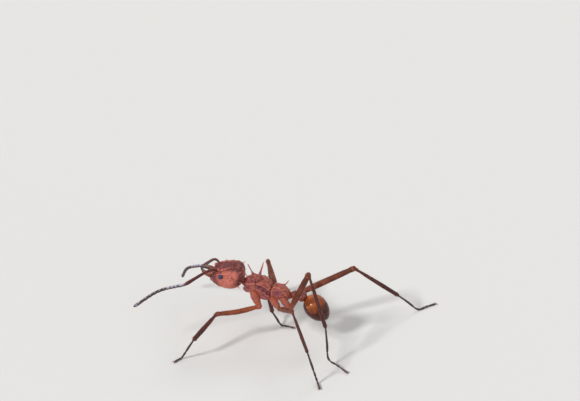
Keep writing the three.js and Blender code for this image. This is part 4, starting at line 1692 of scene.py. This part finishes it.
class AntShellSettings(bpy.types.PropertyGroup):
    """Colours of the shell."""

    body: swatch("Body", "Salmon-brown of the head", (0.6, 0.17, 0.125))
    trunk: swatch("Trunk", "Terracotta of the trunk", (0.42, 0.11, 0.08))
    # Painted shade with a mauve sheen, in the hollows of the trunk and on the coxae.
    body_dusk: swatch("Body hollows", "Mauve of the hollows on the trunk", (0.23, 0.057, 0.084))
    body_glow: swatch("Spine tips", "Warm orange of thin spines", (0.56, 0.17, 0.075))
    # Partly the head's own darker tone and partly painted shade, on its top and front; also on the tops of
    # the waist's knots.
    head_dusk: swatch("Head top", "Dusky mauve-brown of the head's top and front", (0.15, 0.032, 0.036))
    coxa: swatch("Coxa", "Red-brown of the coxae", (0.4, 0.095, 0.052))
    waist: swatch("Waist", "Dark red-brown of the waist", (0.22, 0.036, 0.016))
    femur: swatch("Femur", "Red-brown of the femora", (0.34, 0.078, 0.032))
    # Also the painted shade of the middle and hind femora.
    femur_dusk: swatch("Femur shade", "Darker brown towards the knees", (0.1, 0.02, 0.008))
    shin: swatch("Shin", "Maroon-brown of the tibiae and scapes", (0.13, 0.024, 0.018))
    shin_dusk: swatch("Shin shade", "Darker maroon towards the feet", (0.055, 0.01, 0.009))
    horn: swatch("Horn", "Near-black of feet, claws, jaws and feeler tips", (0.035, 0.016, 0.016))
    # Partly the short hairs' own pale colour and partly a painted highlight, on the segments' tops.
    feeler_bloom: swatch("Feeler bloom", "Pale grey-violet sheen of the feelers", (0.5, 0.45, 0.58))
    gaster_front: swatch("Gaster front", "Orange-brown of the front of the gaster", (0.44, 0.1, 0.018))
    # Also the painted shade of the gaster's rear, underside and creases, and its dark freckles.
    gaster_rear: swatch("Gaster rear", "Dark red-brown of its rear", (0.055, 0.006, 0.0015))
    eye: swatch("Eye", "Blue-black of the eyes", (0.01, 0.013, 0.026))
    hair_root: swatch("Hair root", "Brown of the hairs near the skin", (0.2, 0.08, 0.05))
    hair_tip: swatch("Hair tip", "Straw colour of the hairs' tips", (0.6, 0.4, 0.24))


class AntCoatSettings(bpy.types.PropertyGroup):
    """Sizes of the hairs, in millimetres, and how many stand on a square millimetre."""

    body_density: bpy.props.FloatProperty(
        name="Body density", description="Hairs on a square millimetre of the body", default=50, min=0
    )
    leg_density: bpy.props.FloatProperty(
        name="Leg density", description="Hairs on a square millimetre of leg", default=105, min=0
    )
    body_length_mm: bpy.props.FloatProperty(
        name="Body hair length", description="Length of a body hair, in millimetres", default=0.085, min=0
    )
    leg_length_mm: bpy.props.FloatProperty(
        name="Leg hair length", description="Length of a leg hair, in millimetres", default=0.075, min=0
    )
    radius_mm: bpy.props.FloatProperty(
        name="Hair radius", description="Radius of a hair at its root, in millimetres", default=0.0035, min=0
    )
    seed: bpy.props.IntProperty(name="Seed", description="Seed of the hairs' places", default=11)


class AntStageSettings(bpy.types.PropertyGroup):
    """Floor, lamps and camera."""

    floor_size: bpy.props.FloatProperty(
        name="Floor", description="Half the floor's width", default=1.5, unit="LENGTH"
    )
    floor_colour: swatch("Floor colour", "Pale grey-white of the floor", (0.8, 0.79, 0.77))
    sky: bpy.props.FloatProperty(name="Sky", description="Strength of the soft light all round", default=0.45)
    backdrop: bpy.props.FloatProperty(name="Backdrop", description="How pale the room looks", default=0.85)
    key: bpy.props.FloatProperty(name="Key", description="Strength of the main lamp", default=2.1)
    fill: bpy.props.FloatProperty(name="Fill", description="Strength of the fill lamp", default=0.3)
    rim: bpy.props.FloatProperty(name="Rim", description="Strength of the lamp behind", default=0.4)
    azimuth: bpy.props.FloatProperty(
        name="Azimuth", description="How far the camera stands round to the right",
        default=math.radians(11), subtype="ANGLE",
    )
    elevation: bpy.props.FloatProperty(
        name="Elevation", description="How far the camera looks down",
        default=math.radians(30), subtype="ANGLE",
    )
    distance: bpy.props.FloatProperty(
        name="Distance", description="From the camera to the place it aims at",
        default=0.1742, unit="LENGTH", precision=4,
    )
    lens: bpy.props.FloatProperty(name="Lens", description="Focal length in millimetres", default=200)
    aim_right: bpy.props.FloatProperty(
        name="Aim right", description="How far right of the trunk's underside the camera aims",
        default=0.00119, unit="LENGTH", precision=5,
    )
    aim_up: bpy.props.FloatProperty(
        name="Aim up", description="How far above the trunk's underside the camera aims",
        default=0.00511, unit="LENGTH", precision=5,
    )


# ---- operators ---------------------------------------------------------------------------------


class AddStage(bpy.types.Operator):
    """Makes the floor, the lamps and the camera"""

    bl_idname = "ant.stage"
    bl_label = "Stage"
    bl_options = {"REGISTER", "UNDO"}

    def execute(self, context):
        build_stage()
        return {"FINISHED"}


class AddHead(bpy.types.Operator):
    """Makes the head capsule with its keels, spines and warts"""

    bl_idname = "ant.head"
    bl_label = "Head"
    bl_options = {"REGISTER", "UNDO"}

    def execute(self, context):
        build_head()
        return {"FINISHED"}


class AddEyes(bpy.types.Operator):
    """Makes the two eyes"""

    bl_idname = "ant.eyes"
    bl_label = "Eyes"
    bl_options = {"REGISTER", "UNDO"}

    def execute(self, context):
        build_eyes()
        return {"FINISHED"}


class AddMandibles(bpy.types.Operator):
    """Makes the two toothed jaws"""

    bl_idname = "ant.mandibles"
    bl_label = "Mandibles"
    bl_options = {"REGISTER", "UNDO"}

    def execute(self, context):
        build_mandibles()
        return {"FINISHED"}


class AddTrunk(bpy.types.Operator):
    """Makes the trunk with its spines, keels and seams"""

    bl_idname = "ant.trunk"
    bl_label = "Trunk"
    bl_options = {"REGISTER", "UNDO"}

    def execute(self, context):
        build_trunk()
        return {"FINISHED"}


class AddWaist(bpy.types.Operator):
    """Makes the petiole and the postpetiole"""

    bl_idname = "ant.waist"
    bl_label = "Waist"
    bl_options = {"REGISTER", "UNDO"}

    def execute(self, context):
        build_waist()
        return {"FINISHED"}


class AddGaster(bpy.types.Operator):
    """Makes the segmented gaster"""

    bl_idname = "ant.gaster"
    bl_label = "Gaster"
    bl_options = {"REGISTER", "UNDO"}

    def execute(self, context):
        build_gaster()
        return {"FINISHED"}


class AddFeelers(bpy.types.Operator):
    """Makes the scapes and the flagella"""

    bl_idname = "ant.feelers"
    bl_label = "Feelers"
    bl_options = {"REGISTER", "UNDO"}

    def execute(self, context):
        build_feelers()
        return {"FINISHED"}


class AddCoxae(bpy.types.Operator):
    """Makes the six coxae with their trochanters"""

    bl_idname = "ant.coxae"
    bl_label = "Coxae"
    bl_options = {"REGISTER", "UNDO"}

    def execute(self, context):
        build_coxae()
        return {"FINISHED"}


class AddLegs(bpy.types.Operator):
    """Makes the six femora and tibiae"""

    bl_idname = "ant.legs"
    bl_label = "Legs"
    bl_options = {"REGISTER", "UNDO"}

    def execute(self, context):
        build_legs()
        return {"FINISHED"}


class AddFeet(bpy.types.Operator):
    """Makes the six tarsi with their spurs and claws"""

    bl_idname = "ant.feet"
    bl_label = "Feet"
    bl_options = {"REGISTER", "UNDO"}

    def execute(self, context):
        build_feet()
        return {"FINISHED"}


class AddCoat(bpy.types.Operator):
    """Makes the short hairs"""

    bl_idname = "ant.coat"
    bl_label = "Coat"
    bl_options = {"REGISTER", "UNDO"}

    def execute(self, context):
        build_coat()
        return {"FINISHED"}


OPERATORS = [
    AddStage,
    AddHead,
    AddEyes,
    AddMandibles,
    AddTrunk,
    AddWaist,
    AddGaster,
    AddFeelers,
    AddCoxae,
    AddLegs,
    AddFeet,
    AddCoat,
]


class ANT_PT_builder(bpy.types.Panel):
    """Lists the ant's pieces."""

    bl_label = "Leafcutter Ant"
    bl_idname = "ANT_PT_builder"
    bl_space_type = "VIEW_3D"
    bl_region_type = "UI"
    bl_category = "Ant"

    def draw(self, context):
        for made in OPERATORS:
            self.layout.operator(made.bl_idname)
        for name in SETTINGS:
            group = getattr(context.scene, name)
            for key in group.__annotations__:
                self.layout.prop(group, key)


SETTINGS = {"ant_shell": AntShellSettings, "ant_coat": AntCoatSettings, "ant_stage": AntStageSettings}
CLASSES = [*SETTINGS.values(), *OPERATORS, ANT_PT_builder]


def register():
    for made in CLASSES:
        bpy.utils.register_class(made)
    for name, made in SETTINGS.items():
        setattr(bpy.types.Scene, name, bpy.props.PointerProperty(type=made))


def unregister():
    for name in SETTINGS:
        delattr(bpy.types.Scene, name)
    for made in reversed(CLASSES):
        bpy.utils.unregister_class(made)


def main():
    register()
    for made in OPERATORS:
        step = getattr(bpy.ops.ant, made.bl_idname.split(".")[1])
        if step() != {"FINISHED"}:
            raise RuntimeError(f"{made.bl_label} was not made")


if __name__ == "__main__":
    main()
